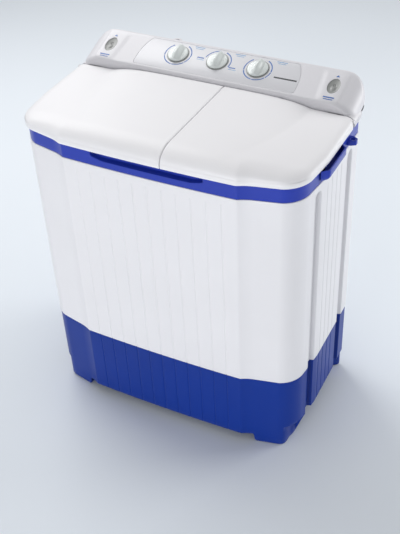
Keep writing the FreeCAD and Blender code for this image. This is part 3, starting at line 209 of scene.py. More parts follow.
def settle(obj):
    """Applies all modifiers of an object."""
    mesh = evaluated_mesh(obj)
    obj.modifiers.clear()
    obj.data = mesh
    clean(obj, obj.get("sharp", 38.0))
    return obj


def boolean(obj, cutter):
    """Cuts a piece with another object, which is then removed."""
    cutter.parent = None
    tool = obj.modifiers.new("tool", "BOOLEAN")
    tool.operation = "DIFFERENCE"
    tool.solver = "MANIFOLD"
    tool.object = cutter
    settle(obj)
    bpy.data.objects.remove(cutter)


def bevel(obj, width, segments):
    edge = obj.modifiers.new("edge", "BEVEL")
    edge.width = width * MM
    edge.segments = segments
    edge.limit_method = "ANGLE"
    edge.angle_limit = math.radians(32.0)
    return settle(obj)


def box_cutter(x, y, z):
    corners = [(a, b, c) for a in x for b in y for c in z]
    faces = [(0, 1, 3, 2), (4, 6, 7, 5), (0, 4, 5, 1), (2, 3, 7, 6), (0, 2, 6, 4), (1, 5, 7, 3)]
    return mesh_piece("cutter", corners, faces, MATERIALS["cabinet_white"])


def prism(name, outline, direction, material, body="casing"):
    """Closed prism from a flat outline of 3-D points."""
    base = np.asarray(outline, float)
    n = len(base)
    verts = np.vstack([base, base + np.asarray(direction, float)])
    faces = [tuple(range(n)), tuple(range(2 * n - 1, n - 1, -1))]
    faces += [(i, (i + 1) % n, n + (i + 1) % n, n + i) for i in range(n)]
    return mesh_piece(name, verts, faces, material, body)


def loop_shell(name, rings, material, body="casing", closed=True, sharp=38.0):
    """Surface through rings of equal length: a closed tube wall, or a loft with capped ends."""
    count, n = len(rings), len(rings[0])
    verts = np.vstack(rings)
    faces = []
    last = count if closed else count - 1
    for i in range(last):
        k = (i + 1) % count
        for j in range(n):
            m = (j + 1) % n
            faces.append((i * n + j, i * n + m, k * n + m, k * n + j))
    if not closed:
        faces.append(tuple(range(n)))
        faces.append(tuple(range(count * n - 1, (count - 1) * n - 1, -1)))
    return mesh_piece(name, verts, faces, material, body, sharp)


def lathe(name, profile, centre, material, axis, steps):
    """Ring of revolution from a closed (radius, height) profile."""
    side = np.cross(axis, [1.0, 0.0, 0.0])
    side /= np.linalg.norm(side)
    other = np.cross(axis, side)
    turn = full_turn(steps)
    rings = []
    for r, h in profile:
        ring = np.outer(np.cos(turn), side) * r + np.outer(np.sin(turn), other) * r
        rings.append(ring + np.asarray(centre) + axis * h)
    return loop_shell(name, rings, material)


def join(target, *parts):
    """Adds the meshes of other pieces to a piece."""
    work = bmesh.new()
    work.from_mesh(target.data)
    for part in parts:
        work.from_mesh(part.data)
    work.to_mesh(target.data)
    work.free()
    for part in parts:
        bpy.data.objects.remove(part)
    clean(target, target.get("sharp", 38.0))
    return target


def smooth01(t):
    t = np.clip(t, 0.0, 1.0)
    return t * t * (3.0 - 2.0 * t)


# Plan outline ------------------------------------------------------------------------------
def arc_through(a, b, c, step=0.5):
    """Points on the circle through a, b and c, from a to c."""
    (ax, ay), (bx, by), (cx, cy) = a, b, c
    d = 2 * (ax * (by - cy) + bx * (cy - ay) + cx * (ay - by))
    a2, b2, c2 = ax * ax + ay * ay, bx * bx + by * by, cx * cx + cy * cy
    ux = (a2 * (by - cy) + b2 * (cy - ay) + c2 * (ay - by)) / d
    uy = (a2 * (cx - bx) + b2 * (ax - cx) + c2 * (bx - ax)) / d
    radius = math.hypot(ax - ux, ay - uy)
    start, middle, end = (math.atan2(p[1] - uy, p[0] - ux) for p in (a, b, c))
    turn = (end - start) % (2 * math.pi)
    if (middle - start) % (2 * math.pi) > turn:
        turn -= 2 * math.pi
    angles = start + np.linspace(0, turn, max(3, int(abs(turn) * radius / step)))
    return np.stack([ux + radius * np.cos(angles), uy + radius * np.sin(angles)], 1)


def line_between(a, b, step=0.5):
    count = max(2, int(math.dist(a, b) / step))
    t = np.linspace(0, 1, count)[:, None]
    return np.array(a) * (1 - t) + np.array(b) * t


class Outline:
    """The cabinet's plan outline as a closed curve, measured by its length from the front middle."""

    def __init__(self):
        side_end = (HALF_WIDTH, BACK_Y - BACK_RADIUS)
        back_end = (HALF_WIDTH - BACK_RADIUS, BACK_Y)
        bend = BACK_RADIUS * (1 - math.sqrt(0.5))
        runs = [
            arc_through((0.0, BOW_Y), (103.0, BOW_Y + 1.0), STEP[0]),
            arc_through(*STEP),
            line_between(STEP[2], CORNER[0]),
            arc_through(*CORNER),
            line_between(CORNER[2], (HALF_WIDTH, SIDE_START_Y)),
            line_between((HALF_WIDTH, SIDE_START_Y), side_end),
            arc_through(side_end, (HALF_WIDTH - bend, BACK_Y - bend), back_end),
            line_between(back_end, (0.0, BACK_Y)),
        ]
        right = np.vstack([runs[0]] + [run[1:] for run in runs[1:]])
        left = right[::-1][1:] * [-1, 1]
        self.points = np.vstack([right, left])
        steps = np.linalg.norm(np.diff(self.points, axis=0), axis=1)
        self.length = np.concatenate([[0.0], np.cumsum(steps)])
        self.total = self.length[-1]

    def at(self, s):
        s = np.mod(s, self.total)
        x = np.interp(s, self.length, self.points[:, 0])
        y = np.interp(s, self.length, self.points[:, 1])
        return np.stack([x, y], -1)

    def normal(self, s, reach=1.5):
        along = self.at(np.asarray(s) + reach) - self.at(np.asarray(s) - reach)
        along /= np.linalg.norm(along, axis=-1, keepdims=True)
        return np.stack([along[..., 1], -along[..., 0]], -1)

    def offset(self, s, distance):
        return self.at(s) + self.normal(s) * np.asarray(distance)[..., None]

    def place(self, x, y):
        """Length at the outline point nearest to (x, y)."""
        gap = np.hypot(self.points[:, 0] - x, self.points[:, 1] - y)
        return self.length[int(np.argmin(gap))]


PLAN = Outline()


FLUTES_S = [PLAN.place(x, -182.0) for x in FLUTE_X]
FLUTES_S += [PLAN.place(side * ASIDE_X, y) for side in (1, -1) for y in FLUTE_SIDE_Y]
CHANNELS_S = [PLAN.place(side * ASIDE_X, y) for side in (1, -1) for y in CHANNEL_Y]


def stations(spacing=7.0, features=True, extra=()):
    """Lengths along the outline where the walls have a column of vertices."""
    values = list(np.arange(0, PLAN.total, spacing))
    for a, _, c in (STEP, CORNER):
        for sign in (1, -1):
            s0, s1 = sorted((PLAN.place(sign * a[0], a[1]), PLAN.place(sign * c[0], c[1])))
            values += list(np.arange(s0, s1, 3.0))
    for sign in (1, -1):
        corner = PLAN.place(sign * HALF_WIDTH, BACK_Y)
        values += list(corner + np.arange(-15.0, 15.1, 1.5))
    if features:
        for s in FLUTES_S:
            values += [s + d for d in FLUTE_MARKS]
        for s in CHANNELS_S:
            values += [s + sign * d for sign in (1, -1) for d in CHANNEL_MARKS]
    values = np.sort(np.mod(np.array(values + list(extra)), PLAN.total))
    keep = [values[0]]
    for value in values[1:]:
        if value - keep[-1] > 0.3:
            keep.append(value)
    return np.array(keep)


def along_gap(s, centre):
    gap = np.abs(s - centre)
    return np.minimum(gap, PLAN.total - gap)


def relief(s, z):
    """Depth of the flutes and side channels below the wall's surface."""
    depth = np.zeros_like(s)
    fade = smooth01((FLUTE_TOP_Z - z) / 3.0)
    for centre in FLUTES_S:
        groove = smooth01((FLUTE_HALF + 0.35 - along_gap(s, centre)) / 0.9)
        depth = np.maximum(depth, FLUTE_DEPTH * fade * groove)
    cap_z = CHANNEL_TOP_Z - CHANNEL_HALF
    for centre in CHANNELS_S:
        reach = np.hypot(along_gap(s, centre), max(z - cap_z, 0.0))
        depth = np.maximum(depth, CHANNEL_DEPTH * smooth01((CHANNEL_HALF - reach) / CHANNEL_SHOULDER))
    return depth


def ring_at(s, z, outward):
    xy = PLAN.offset(s, outward)
    z = np.broadcast_to(np.asarray(z, float), s.shape)
    return np.column_stack([xy, z])


# Materials ---------------------------------------------------------------------------------
def linear(rgb):
    """Linear red, green and blue from 0-255 screen values."""
    v = np.array(rgb) / 255.0
    return np.where(v > 10 / 255.0, ((v + 0.055) / 1.055) ** 2.4, v / 12.92)


def opaque(rgb):
    return tuple(rgb) + (1.0,)


class Nodes:
    """Small helper that builds a material's node tree."""

    def __init__(self, name):
        self.material = bpy.data.materials.new(name)
        self.material.use_nodes = True
        self.tree = self.material.node_tree
        self.shader = self.tree.nodes["Principled BSDF"]
        self.coords = self.tree.nodes.new("ShaderNodeTexCoord")

    def node(self, kind, **values):
        made = self.tree.nodes.new(kind)
        for key, value in values.items():
            if hasattr(made, key):
                setattr(made, key, value)
            else:
                made.inputs[key.replace("_", " ")].default_value = value
        return made

    def link(self, a, b):
        self.tree.links.new(a, b)

    def noise(self, scale, detail=4.0, rough=0.55):
        made = self.node("ShaderNodeTexNoise", Scale=scale, Detail=detail, Roughness=rough)
        self.link(self.coords.outputs["Object"], made.inputs["Vector"])
        return made.outputs["Fac"]

    def ramp(self, factor, low, high, start=0.3, end=0.7):
        made = self.node("ShaderNodeValToRGB")
        made.color_ramp.elements[0].position = start
        made.color_ramp.elements[1].position = end
        made.color_ramp.elements[0].color = low
        made.color_ramp.elements[1].color = high
        self.link(factor, made.inputs["Fac"])
        return made.outputs["Color"]

    def span(self, factor, low, high, **source):
        made = self.node("ShaderNodeMapRange", To_Min=low, To_Max=high, **source)
        self.link(factor, made.inputs["Value"])
        return made.outputs["Result"]

    def rounded(self, radius):
        """Normal of the surface with its edges rounded."""
        return self.node("ShaderNodeBevel", samples=4, Radius=radius * MM).outputs["Normal"]

    def feed(self, socket, value):
        """Sets an input of the shader to a number or to another node's output."""
        if isinstance(value, float):
            self.shader.inputs[socket].default_value = value
        else:
            self.link(value, self.shader.inputs[socket])

    def mix(self, factor, a, b):
        made = self.node("ShaderNodeMix", data_type="RGBA")
        self.link(factor, made.inputs["Factor"])
        for value, socket in ((a, made.inputs[6]), (b, made.inputs[7])):
            if isinstance(value, tuple):
                socket.default_value = value
            else:
                self.link(value, socket)
        return made.outputs[2]

    def edge_mask(self, radius, low=0.004, high=0.03):
        """1 where the surface turns sharply, from the bevelled and the true normal."""
        geometry = self.node("ShaderNodeNewGeometry")
        dot = self.node("ShaderNodeVectorMath", operation="DOT_PRODUCT")
        self.link(self.rounded(radius), dot.inputs[0])
        self.link(geometry.outputs["Normal"], dot.inputs[1])
        return self.span(dot.outputs["Value"], 0.0, 1.0, From_Min=1.0 - low, From_Max=1.0 - high)

    def bump(self, height, strength, distance, normal=None):
        made = self.node("ShaderNodeBump", Strength=strength, Distance=distance * MM)
        self.link(height, made.inputs["Height"])
        if normal is not None:
            self.link(normal, made.inputs["Normal"])
        return made.outputs["Normal"]


def moulded(name, colour, rough=0.34, grain=0.03, tone=0.05, edge=0.6, edge_wear_and_highlight=0.06, coat=0.0, gloss=0.5):
    """Injection-moulded plastic: slow colour drift, fine grain, softened edges that are lightened by
    wear and by a painted highlight.
    """
    m = Nodes(name)
    base = linear(colour)
    light = np.minimum(base * (1 + tone), 1.0)
    drift = m.ramp(m.noise(3.2, 3.0), opaque(base * (1 - tone)), opaque(light))
    # painted highlight and wear: sharp edges are lightened towards white in random patches
    worn_and_highlit_edge = m.node("ShaderNodeMath", operation="MULTIPLY")
    m.link(m.edge_mask(edge), worn_and_highlit_edge.inputs[0])
    m.link(m.span(m.noise(38.0, 5.0), 0.0, 2.0 * edge_wear_and_highlight), worn_and_highlit_edge.inputs[1])
    m.feed("Base Color", m.mix(worn_and_highlit_edge.outputs["Value"], drift, opaque(base + (1 - base) * 0.35)))
    m.feed("Roughness", m.span(m.noise(46.0, 6.0), rough - 0.025, rough + 0.025))
    m.feed("Normal", m.bump(m.noise(900.0, 2.0), grain, 0.12, m.rounded(edge)))
    m.feed("Specular IOR Level", gloss)
    m.feed("Coat Weight", coat)
    m.feed("Coat Roughness", 0.12)
    m.feed("IOR", 1.5)
    return m.material


def metal(name, colour, rough=0.32, brushed=(1.0, 1.0, 14.0), spots=0.08):
    """Machined or plated metal with directional scratches and a faint bloom."""
    m = Nodes(name)
    base = linear(colour)
    mapping = m.node("ShaderNodeMapping", Scale=brushed)
    m.link(m.coords.outputs["Object"], mapping.inputs["Vector"])
    scratch = m.node("ShaderNodeTexNoise", Scale=160.0, Detail=4.0, Roughness=0.7)
    m.link(mapping.outputs["Vector"], scratch.inputs["Vector"])
    m.feed("Base Color", m.ramp(m.noise(24.0, 5.0), opaque(base * (1 - spots)), opaque(base)))
    m.feed("Metallic", 1.0)
    m.feed("Roughness", m.span(scratch.outputs["Fac"], rough - 0.1, rough + 0.14))
    m.feed("Normal", m.bump(scratch.outputs["Fac"], 0.08, 0.1, m.rounded(0.3)))
    return m.material


def elastomer(name, colour, rough=0.62):
    """Rubber with a fine matt pebble and dusty high spots."""
    m = Nodes(name)
    base = linear(colour)
    dust = opaque(base * 0.6 + 0.05)
    m.feed("Base Color", m.ramp(m.noise(55.0, 6.0), opaque(base), dust, 0.45, 0.85))
    m.feed("Roughness", m.span(m.noise(140.0), rough - 0.1, rough + 0.1))
    m.feed("Normal", m.bump(m.noise(700.0, 3.0), 0.25, 0.15))
    return m.material


def ribbed_hose(name, colour):
    """Corrugated hose: rings across the pipe's upright run, with painted shade darkening the grooves
    between them.
    """
    m = Nodes(name)
    base = linear(colour)
    wave = m.node("ShaderNodeTexWave", wave_type="BANDS", bands_direction="Z", Scale=52.0)
    m.link(m.coords.outputs["Object"], wave.inputs["Vector"])
    # painted shade: the colour darkens where the rings' bump is low, in the grooves
    m.feed("Base Color", m.ramp(wave.outputs["Fac"], opaque(base * 0.72), opaque(base)))
    m.feed("Roughness", 0.5)
    m.feed("Normal", m.bump(wave.outputs["Fac"], 0.7, 1.2))
    return m.material


def printed(name, colour):
    """Screen-printed ink: slightly uneven cover, satin."""
    m = Nodes(name)
    base = linear(colour)
    m.feed("Base Color", m.ramp(m.noise(420.0, 4.0), opaque(base * 0.85), opaque(base * 1.1)))
    m.feed("Roughness", m.span(m.noise(90.0), 0.3, 0.45))
    return m.material


MATERIALS = {
    "cabinet_white": moulded("cabinet_white", (236, 235, 238), 0.36, 0.035, 0.02),
    "lid_white": moulded("lid_white", (243, 242, 244), 0.4, 0.02, 0.012, gloss=0.35),
    "console_white": moulded("console_white", (224, 223, 227), 0.36, 0.03, 0.015, gloss=0.4),
    "panel_white": moulded("panel_white", (226, 226, 230), 0.38, 0.05, 0.015, edge=0.3, gloss=0.4),
    "band_blue": moulded("band_blue", (34, 58, 172), 0.3, 0.03, 0.06, coat=0.15, gloss=0.35),
    "base_blue": moulded("base_blue", (2, 48, 142), 0.36, 0.03, 0.08, gloss=0.25),
    "knob_white": moulded("knob_white", (224, 230, 228), 0.28, 0.02, 0.02, coat=0.3),
    "bezel_grey": moulded("bezel_grey", (150, 152, 150), 0.35, 0.03, 0.04),
    "tub_white": moulded("tub_white", (228, 231, 235), 0.3, 0.02, 0.02),
    "tub_blue": moulded("tub_blue", (92, 140, 205), 0.3, 0.02, 0.04),
    "grey_plastic": moulded("grey_plastic", (158, 162, 168), 0.42, 0.05, 0.05),
    "black_plastic": moulded("black_plastic", (28, 29, 32), 0.4, 0.05, 0.08),
    "rubber": elastomer("rubber", (34, 34, 36)),
    "hose_grey": ribbed_hose("hose_grey", (178, 182, 188)),
    "steel": metal("steel", (196, 198, 202)),
    "zinc": metal("zinc", (178, 182, 186), 0.42, (1.0, 1.0, 1.0), 0.2),
    "painted_metal": moulded("painted_metal", (70, 74, 80), 0.45, 0.06, 0.08, edge_wear_and_highlight=0.3),
    "aluminium": metal("aluminium", (206, 208, 210), 0.38, (1.0, 1.0, 4.0), 0.12),
}
PRINT_BLUE = printed("print_blue", (52, 104, 178))
PRINT_PALE = printed("print_pale", (134, 172, 210))
PRINT_DARK = printed("print_dark", (48, 52, 58))


# Cabinet, base and band --------------------------------------------------------------------
def build_cabinet():
    """The wall: up the outside, over the top, down the inside."""
    s = stations()
    low, high, edge = BASE_TOP_Z, CABINET_TOP_Z, 0.9
    rows = [low + edge, 230.0] + list(np.arange(260.0, 670.0, 30.0)) + [676.0]
    rows += list(np.arange(CHANNEL_TOP_Z - CHANNEL_HALF - 2, CHANNEL_TOP_Z + 1.5, 1.5))
    rows += [706.0, high - edge]
    outside = [(low, -edge), (low + edge * 0.3, -edge * 0.3)] + [(z, 0.0) for z in rows]
    outside += [(high - edge * 0.3, -edge * 0.3), (high, -edge)]
    rings = [ring_at(s, z, shift - relief(s, z)) for z, shift in outside]
    rings += [ring_at(s, z, -WALL - relief(s, z)) for z in [high] + rows[::-1] + [low]]
    shell = loop_shell("cabinet_shell", rings, MATERIALS["cabinet_white"])
    x, z = REAR_OPENING
    boolean(shell, box_cutter(x, (BACK_Y - 10, BACK_Y + 10), z))
    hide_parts("cabinet")


def foot_share(s):
    """1 along the feet, 0 between them."""
    xy = PLAN.at(s)
    ramp = 5.0
    across = smooth01((np.abs(xy[:, 0]) - FOOT_X + ramp) / ramp)
    front = smooth01((FOOT_FRONT_Y - xy[:, 1] + ramp) / ramp)
    back = smooth01((xy[:, 1] - FOOT_BACK_Y + ramp) / ramp)
    return across * np.maximum(front, back)


def side_share(s):
    """1 where the wall faces sideways, 0 where it faces the front or the back."""
    return smooth01((np.abs(PLAN.normal(s, 12.0)[:, 0]) - 0.5) / 0.45)


def build_base():
    marks = []
    for sx in (1, -1):
        for d in (0, 2.5, 5):
            marks += [PLAN.place(sx * (FOOT_X - d), y) for y in (AHEAD_Y, -AHEAD_Y)]
            marks += [PLAN.place(sx * ASIDE_X, y) for y in (FOOT_FRONT_Y + d, FOOT_BACK_Y - d)]
    s = stations(extra=marks)
    feet, side = foot_share(s), side_share(s)
    edge_z = PLINTH_Z + (TUCK_Z - 3.0 - PLINTH_Z) * side
    low = edge_z - (edge_z - FOOT_GAP) * feet
    tuck = TUCK * side * feet
    outer = -BAND_INSET
    edge = 0.9
    shares = (0.0, 0.01, 0.04, 0.35, 0.7, 0.97)
    bottom = [(low + (TUCK_Z - low) * f, -tuck - edge * max(0.0, 1 - f / 0.04)) for f in shares]
    bottom += [(TUCK_Z + 0.6 * tuck / TUCK, -tuck * 0.04), (TUCK_Z + 1.5, 0.0)]
    rows = [72.0, 95.0, 120.0, 150.0, 180.0, 205.0]
    top = [(BASE_TOP_Z - edge, 0.0), (BASE_TOP_Z - 0.3, -0.3), (BASE_TOP_Z, -edge)]
    outside = bottom + [(z, 0.0) for z in rows] + top
    rings = [ring_at(s, z, outer + shift - relief(s, LOW_Z)) for z, shift in outside]
    inside = [(z, 0.0) for z in [BASE_TOP_Z] + rows[::-1]] + [(z, -tuck) for z, _ in bottom[::-1]]
    rings += [ring_at(s, z, outer - WALL + shift - relief(s, LOW_Z)) for z, shift in inside]
    shell = loop_shell("base_shell", rings, MATERIALS["base_blue"])
    rim = ring_at(s, 0.0, outer - WALL / 2 - relief(s, LOW_Z))[:, :2]
    parts = [plate("base_floor", rim, (FLOOR_Z, FLOOR_Z + WALL))]
    for sx in (1, -1):
        for sy, y_limit in ((-1, FOOT_FRONT_Y), (1, FOOT_BACK_Y)):
            parts.append(foot_block(s, sx, sy, y_limit))
    join(shell, *parts)
    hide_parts("base_plinth")


def plate(name, outline, z):
    points = np.column_stack([outline, np.full(len(outline), z[0])])
    return prism(name, points, (0, 0, z[1] - z[0]), MATERIALS["base_blue"])


def foot_block(s, sx, sy, y_limit):
    """Body of one foot inside the plinth wall, down to the rubber pad."""
    inset = BAND_INSET + WALL - 0.2 + relief(s, LOW_Z) + TUCK * side_share(s) * foot_share(s)
    ring = ring_at(s, 0.0, -inset)[:, :2]
    inside = (ring[:, 0] * sx > FOOT_X - 3) & ((ring[:, 1] - y_limit) * sy > -3)
    run = ring[inside]
    run = run[np.argsort(np.arctan2(run[:, 1] - sy * 40.0, sx * (run[:, 0] - sx * 200.0)))]
    outline = np.vstack([run, [[sx * (FOOT_X - 3), y_limit - sy * 3]]])
    return plate("foot", outline, (FOOT_GAP + 2.0, FLOOR_Z))


def pocket_depth(s, z):
    """Depth of the finger recess at the top of the band's front."""
    x, y = np.abs(PLAN.at(s)[:, 0]), PLAN.at(s)[:, 1]
    front = y < -170
    soft = 1.6
    climb = np.clip((x - POCKET_HALF + POCKET_SLOPE) / POCKET_SLOPE, 0, 1)
    floor = POCKET_LOW_Z + (POCKET_KNEE_Z - POCKET_LOW_Z) * climb
    across = smooth01((POCKET_HALF + soft - x) / soft / 2)
    mask = front * across * smooth01((z - floor + soft) / soft / 2)
    return mask * np.maximum(POCKET_BACK_Y - (y + BAND_INSET), 0.0)


def rounded_rect(x, y, radius, steps=10):
    points = []
    for cx, cy, start in ((x[1] - radius, y[0] + radius, -90), (x[1] - radius, y[1] - radius, 0),
                          (x[0] + radius, y[1] - radius, 90), (x[0] + radius, y[0] + radius, 180)):
        for k in range(steps + 1):
            a = math.radians(start + 90.0 * k / steps)
            points.append((cx + radius * math.cos(a), cy + radius * math.sin(a)))
    return points


def circle(centre, radius, steps=96):
    return [(centre[0] + radius * math.cos(a), centre[1] + radius * math.sin(a))
            for a in full_turn(steps)]


def holed_plate(name, loops, z, material):
    """Flat plate with holes and a softened edge, from closed loops of plan points."""
    edge = 0.5
    curve = bpy.data.curves.new(name, "CURVE")
    curve.dimensions = "2D"
    curve.fill_mode = "BOTH"
    half = (z[1] - z[0]) / 2.0
    curve.extrude = (half - edge) * MM
    curve.bevel_depth = edge * MM
    curve.bevel_resolution = 2
    curve.offset = -edge * MM
    for loop in loops:
        spline = curve.splines.new("POLY")
        spline.points.add(len(loop) - 1)
        for point, (px, py) in zip(spline.points, loop):
            point.co = (px * MM, py * MM, 0.0, 1.0)
        spline.use_cyclic_u = True
    temp = add_object(name, curve)
    mesh = evaluated_mesh(temp)
    bpy.data.objects.remove(temp)
    mesh.transform(Matrix.Translation((0, 0, (z[0] + half) * MM)))
    obj = add_object(name, mesh)
    mesh.materials.clear()
    mesh.materials.append(material)
    obj["sharp"] = 38.0
    clean(obj, 38.0)
    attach(obj, "casing")
    return obj


def ear_outline(x, y, z, base_z, radius, start, steps):
    """Outline of an ear whose round end turns about an axis along X, down or up to its base."""
    turn = np.linspace(start, start + math.pi, steps)
    outline = [(x, y + radius * math.cos(a), z + radius * math.sin(a)) for a in turn]
    reach = radius * math.cos(start)
    return outline + [(x, y - reach, base_z), (x, y + reach, base_z)]


def ear(x, y, z, thick, base_z, radius, material):
    """Upright ear of the top frame."""
    outline = ear_outline(x - thick / 2, y, z, base_z, radius, 0.0, 17)
    return bevel(prism("ear", outline, (thick, 0, 0), material), 0.4, 2)


def build_band():
    blue = MATERIALS["band_blue"]
    marks_x = list(np.arange(104, 134, 2.0)) + [POCKET_HALF + d for d in (-1, 0, 1, 2)]
    marks = [PLAN.place(sx * x, AHEAD_Y) for sx in (1, -1) for x in marks_x]
    s = stations(features=False, extra=marks)
    edge = 1.1
    zs = [CABINET_TOP_Z + edge, 722.0, 728.0] + list(np.arange(729.5, 741.0, 0.8))
    zs += [744.0, 747.0, BAND_TOP_Z - edge]
    outside = [(CABINET_TOP_Z, -edge), (CABINET_TOP_Z + 0.3, -0.35)] + [(z, 0.0) for z in zs]
    outside += [(BAND_TOP_Z - 0.3, -0.35), (BAND_TOP_Z, -edge)]
    rings = [ring_at(s, z, -BAND_INSET + shift - pocket_depth(s, z)) for z, shift in outside]
    for z in [BAND_TOP_Z] + zs[::-1] + [CABINET_TOP_Z]:
        rings.append(ring_at(s, z, -BAND_INSET - WALL - pocket_depth(s, z + 1.0)))
    band = loop_shell("top_frame_band", rings, blue)
    t = stations(12.0, False, marks)
    rim = ring_at(t, 0.0, -BAND_INSET - 1.5 - pocket_depth(t, DECK_Z + DECK_T))[:, :2]
    holes = [rounded_rect(*WASH_HOLE), circle(SPIN, SPIN_OPEN_R)]
    deck = holed_plate("deck", [list(rim)] + holes, (DECK_Z, DECK_Z + DECK_T), blue)
    lip = [(SPIN_OPEN_R + d, COLLAR_TOP_Z - drop) for d, drop in
           ((0.0, 0.8), (0.4, 0.2), (1.0, 0.0), (1.6, 0.2), (2.0, 0.8))]
    lip = [(SPIN_OPEN_R, DECK_Z)] + lip + [(SPIN_OPEN_R + 2.0, DECK_Z)]
    parts = [deck, lathe("collar", lip, (*SPIN, 0.0), blue, np.array([0.0, 0.0, 1.0]), 96)]
    for x in LID_EARS_X["wash_lid"] + LID_EARS_X["spin_lid"]:
        parts.append(ear(x, HINGE_Y, HINGE_Z, EAR_T, DECK_Z + 1, EAR_R, blue))
    for x in INNER_EARS_X:
        parts.append(ear(x, INNER_HINGE[0], INNER_HINGE[1], 6.0, DECK_Z + 1, INNER_EAR_R, blue))
    join(band, *parts)
    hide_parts("top_frame")


# Handles and hook --------------------------------------------------------------------------
def build_handle(side):
    """Trough-shaped carry handle with sloping ends and a bevelled lower edge."""
    blue = MATERIALS["band_blue"]
    face = HALF_WIDTH - BAND_INSET - 0.5
    out = HALF_WIDTH + HANDLE_OUT
    y0, y1 = HANDLE_Y
    slope = 12.0
    z0, z1 = HANDLE_Z
    rings = []
    # (inset from the outer faces, height) down the outside, then down into the trough
    profile = [(9.0, z0), (4.0, z0 + 3.5), (0.6, z0 + 9.0), (0.0, z0 + 11.0), (0.0, z1 - 1.2),
               (0.4, z1 - 0.3), (1.3, z1), (3.0, z1), (3.8, z1 - 0.4), (4.2, z1 - 1.4),
               (4.6, z0 + 14.0), (5.6, z0 + 11.0), (7.2, z0 + 10.0)]
    for inset, z in profile:
        corners = [(face, y0 + inset * 0.6), (out - inset, y0 + slope + inset * 0.35),
                   (out - inset, y1 - slope - inset * 0.35), (face, y1 - inset * 0.6)]
        ring = round_corners(corners, (0.0, 4.0, 4.0, 0.0))
        rings.append(np.array([(side * px, py, z) for px, py in ring]))
    which = "right" if side > 0 else "left"
    shell = loop_shell("handle_shell_" + which, rings, blue, closed=False)
    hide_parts("handle_" + which)


def round_corners(points, radii, steps=5):
    """Closed outline whose corners are replaced by arcs, with equal point counts per corner."""
    result = []
    count = len(points)
    for i, radius in enumerate(radii):
        p = np.array(points[i], float)
        before = np.array(points[i - 1], float) - p
        after = np.array(points[(i + 1) % count], float) - p
        before /= np.linalg.norm(before)
        after /= np.linalg.norm(after)
        if radius <= 0:
            result.append(tuple(p))
            continue
        a, b = p + before * radius, p + after * radius
        for t in np.linspace(0, 1, steps + 1):
            q = a * (1 - t) ** 2 + 2 * p * t * (1 - t) + b * t * t
            result.append(tuple(q))
    return result


def build_hook():
    face = HALF_WIDTH - BAND_INSET - 0.5
    y, z = 105.0, (723.0, 734.0)
    reach = face + 19.5
    outline = [(face, y - 12), (face + 8, y - 12), (reach, y - 5),
               (reach, y + 5), (face + 8, y + 12), (face, y + 12)]
    points = [(px, py, z[0]) for px, py in round_corners(outline, (0, 2, 2, 2, 2, 0))]
    loop = prism("hose_hook_loop", points, (0, 0, z[1] - z[0]), MATERIALS["band_blue"])
    hole = [(face + 10 + 5.5 * math.cos(a), y + 5.5 * math.sin(a), z[0] - 5)
            for a in full_turn(40)]
    boolean(loop, prism("cutter", hole, (0, 0, 30), MATERIALS["band_blue"]))
    bevel(loop, 0.9, 3)
    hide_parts("hose_hook")


# Lids --------------------------------------------------------------------------------------
CREASE_BACK = 246.0               # half distance of the creases at the back
CREASE_DROP = 12.5                # fall of the crease from the front to the back
LID_FRONT_Y = -185.0
LID_DEPTH = 306.0
LID_HALF = 338.0
BOW_SPAN = 250.0
BOW_DROP = 0.6
WING_EDGE_Z = (771.5, 776.0)      # wing height near the outer edge, front and back
LIP_Z = 763.2
LIP_STEP = 0.8
LID_HINGE_SIDE_Z = 769.5          # lower edge of the lids along their hinges


def crease_x(y):
    t = (105.0 - y) / 280.0
    return CREASE_BACK - 14.0 * t - 72.0 * t * t


def crown(x, y):
    """Height of the lid's upper surface before its edges are rounded off."""
    share = np.clip((y - LID_FRONT_Y) / LID_DEPTH, 0.0, 1.0)
    drop = CREASE_DROP * share ** 0.9
    c = crease_x(y)
    u = np.abs(x) / c
    bow = BOW_DROP * (np.abs(x) / BOW_SPAN) ** 2
    centre = LID_TOP_Z - bow - drop * np.clip(u, 0, 1) ** 6
    edge_z = WING_EDGE_Z[0] + (WING_EDGE_Z[1] - WING_EDGE_Z[0]) * share
    start = LID_TOP_Z - BOW_DROP * (c / BOW_SPAN) ** 2 - drop
    t = np.clip((np.abs(x) - c) / (LID_HALF - c), 0, 1.1)
    wing = start - (start - edge_z) * t ** 1.5
    return np.where(u < 1, centre, wing)


def soft_crown(x, y):
    """The crown with its crease rounded over a few millimetres."""
    offsets = (-4.5, -2.25, 0.0, 2.25, 4.5)
    weights = (1.0, 2.0, 3.0, 2.0, 1.0)
    total = sum(w * crown(x + d, y) for d, w in zip(offsets, weights))
    return total / sum(weights)


LID_EDGE_S = np.arange(0, PLAN.total, 1.0)
LID_EDGE = PLAN.offset(LID_EDGE_S, LID_OVERHANG)
LID_EDGE_FRONT = np.clip(-PLAN.normal(LID_EDGE_S, 12.0)[:, 1], 0.0, 1.0)


def edge_distance(x, y):
    """Distance from the lid's outer edge, and how far that edge faces the front."""
    gap = np.hypot(x[:, None] - LID_EDGE[None, :, 0], y[:, None] - LID_EDGE[None, :, 1])
    nearest = np.argmin(gap, 1)
    return gap[np.arange(len(x)), nearest], LID_EDGE_FRONT[nearest]


def lid_height(x, y, seam_x, thickness=0.0):
    """Height of a lid's upper (or, with a thickness, inner) surface at plan points."""
    d, front = edge_distance(x, y)
    width = 19.0 + 31.0 * front ** 2
    d = np.maximum(d - LIP_STEP, 0.0)
    rise = np.sqrt(np.clip(1 - (1 - np.clip(d / width, 0, 1)) ** 2, 0, 1))
    z = LIP_Z + (soft_crown(x, y) - LIP_Z) * rise
    seam_r = 1.8
    near = np.clip(seam_r - np.abs(x - seam_x), 0, seam_r)
    z = z - (seam_r - np.sqrt(seam_r ** 2 - near ** 2))
    rear_r = 3.8
    near = np.clip(rear_r - (LID_REAR_Y - y), 0, rear_r)
    z = z - (rear_r - np.sqrt(rear_r ** 2 - near ** 2))
    return z - thickness


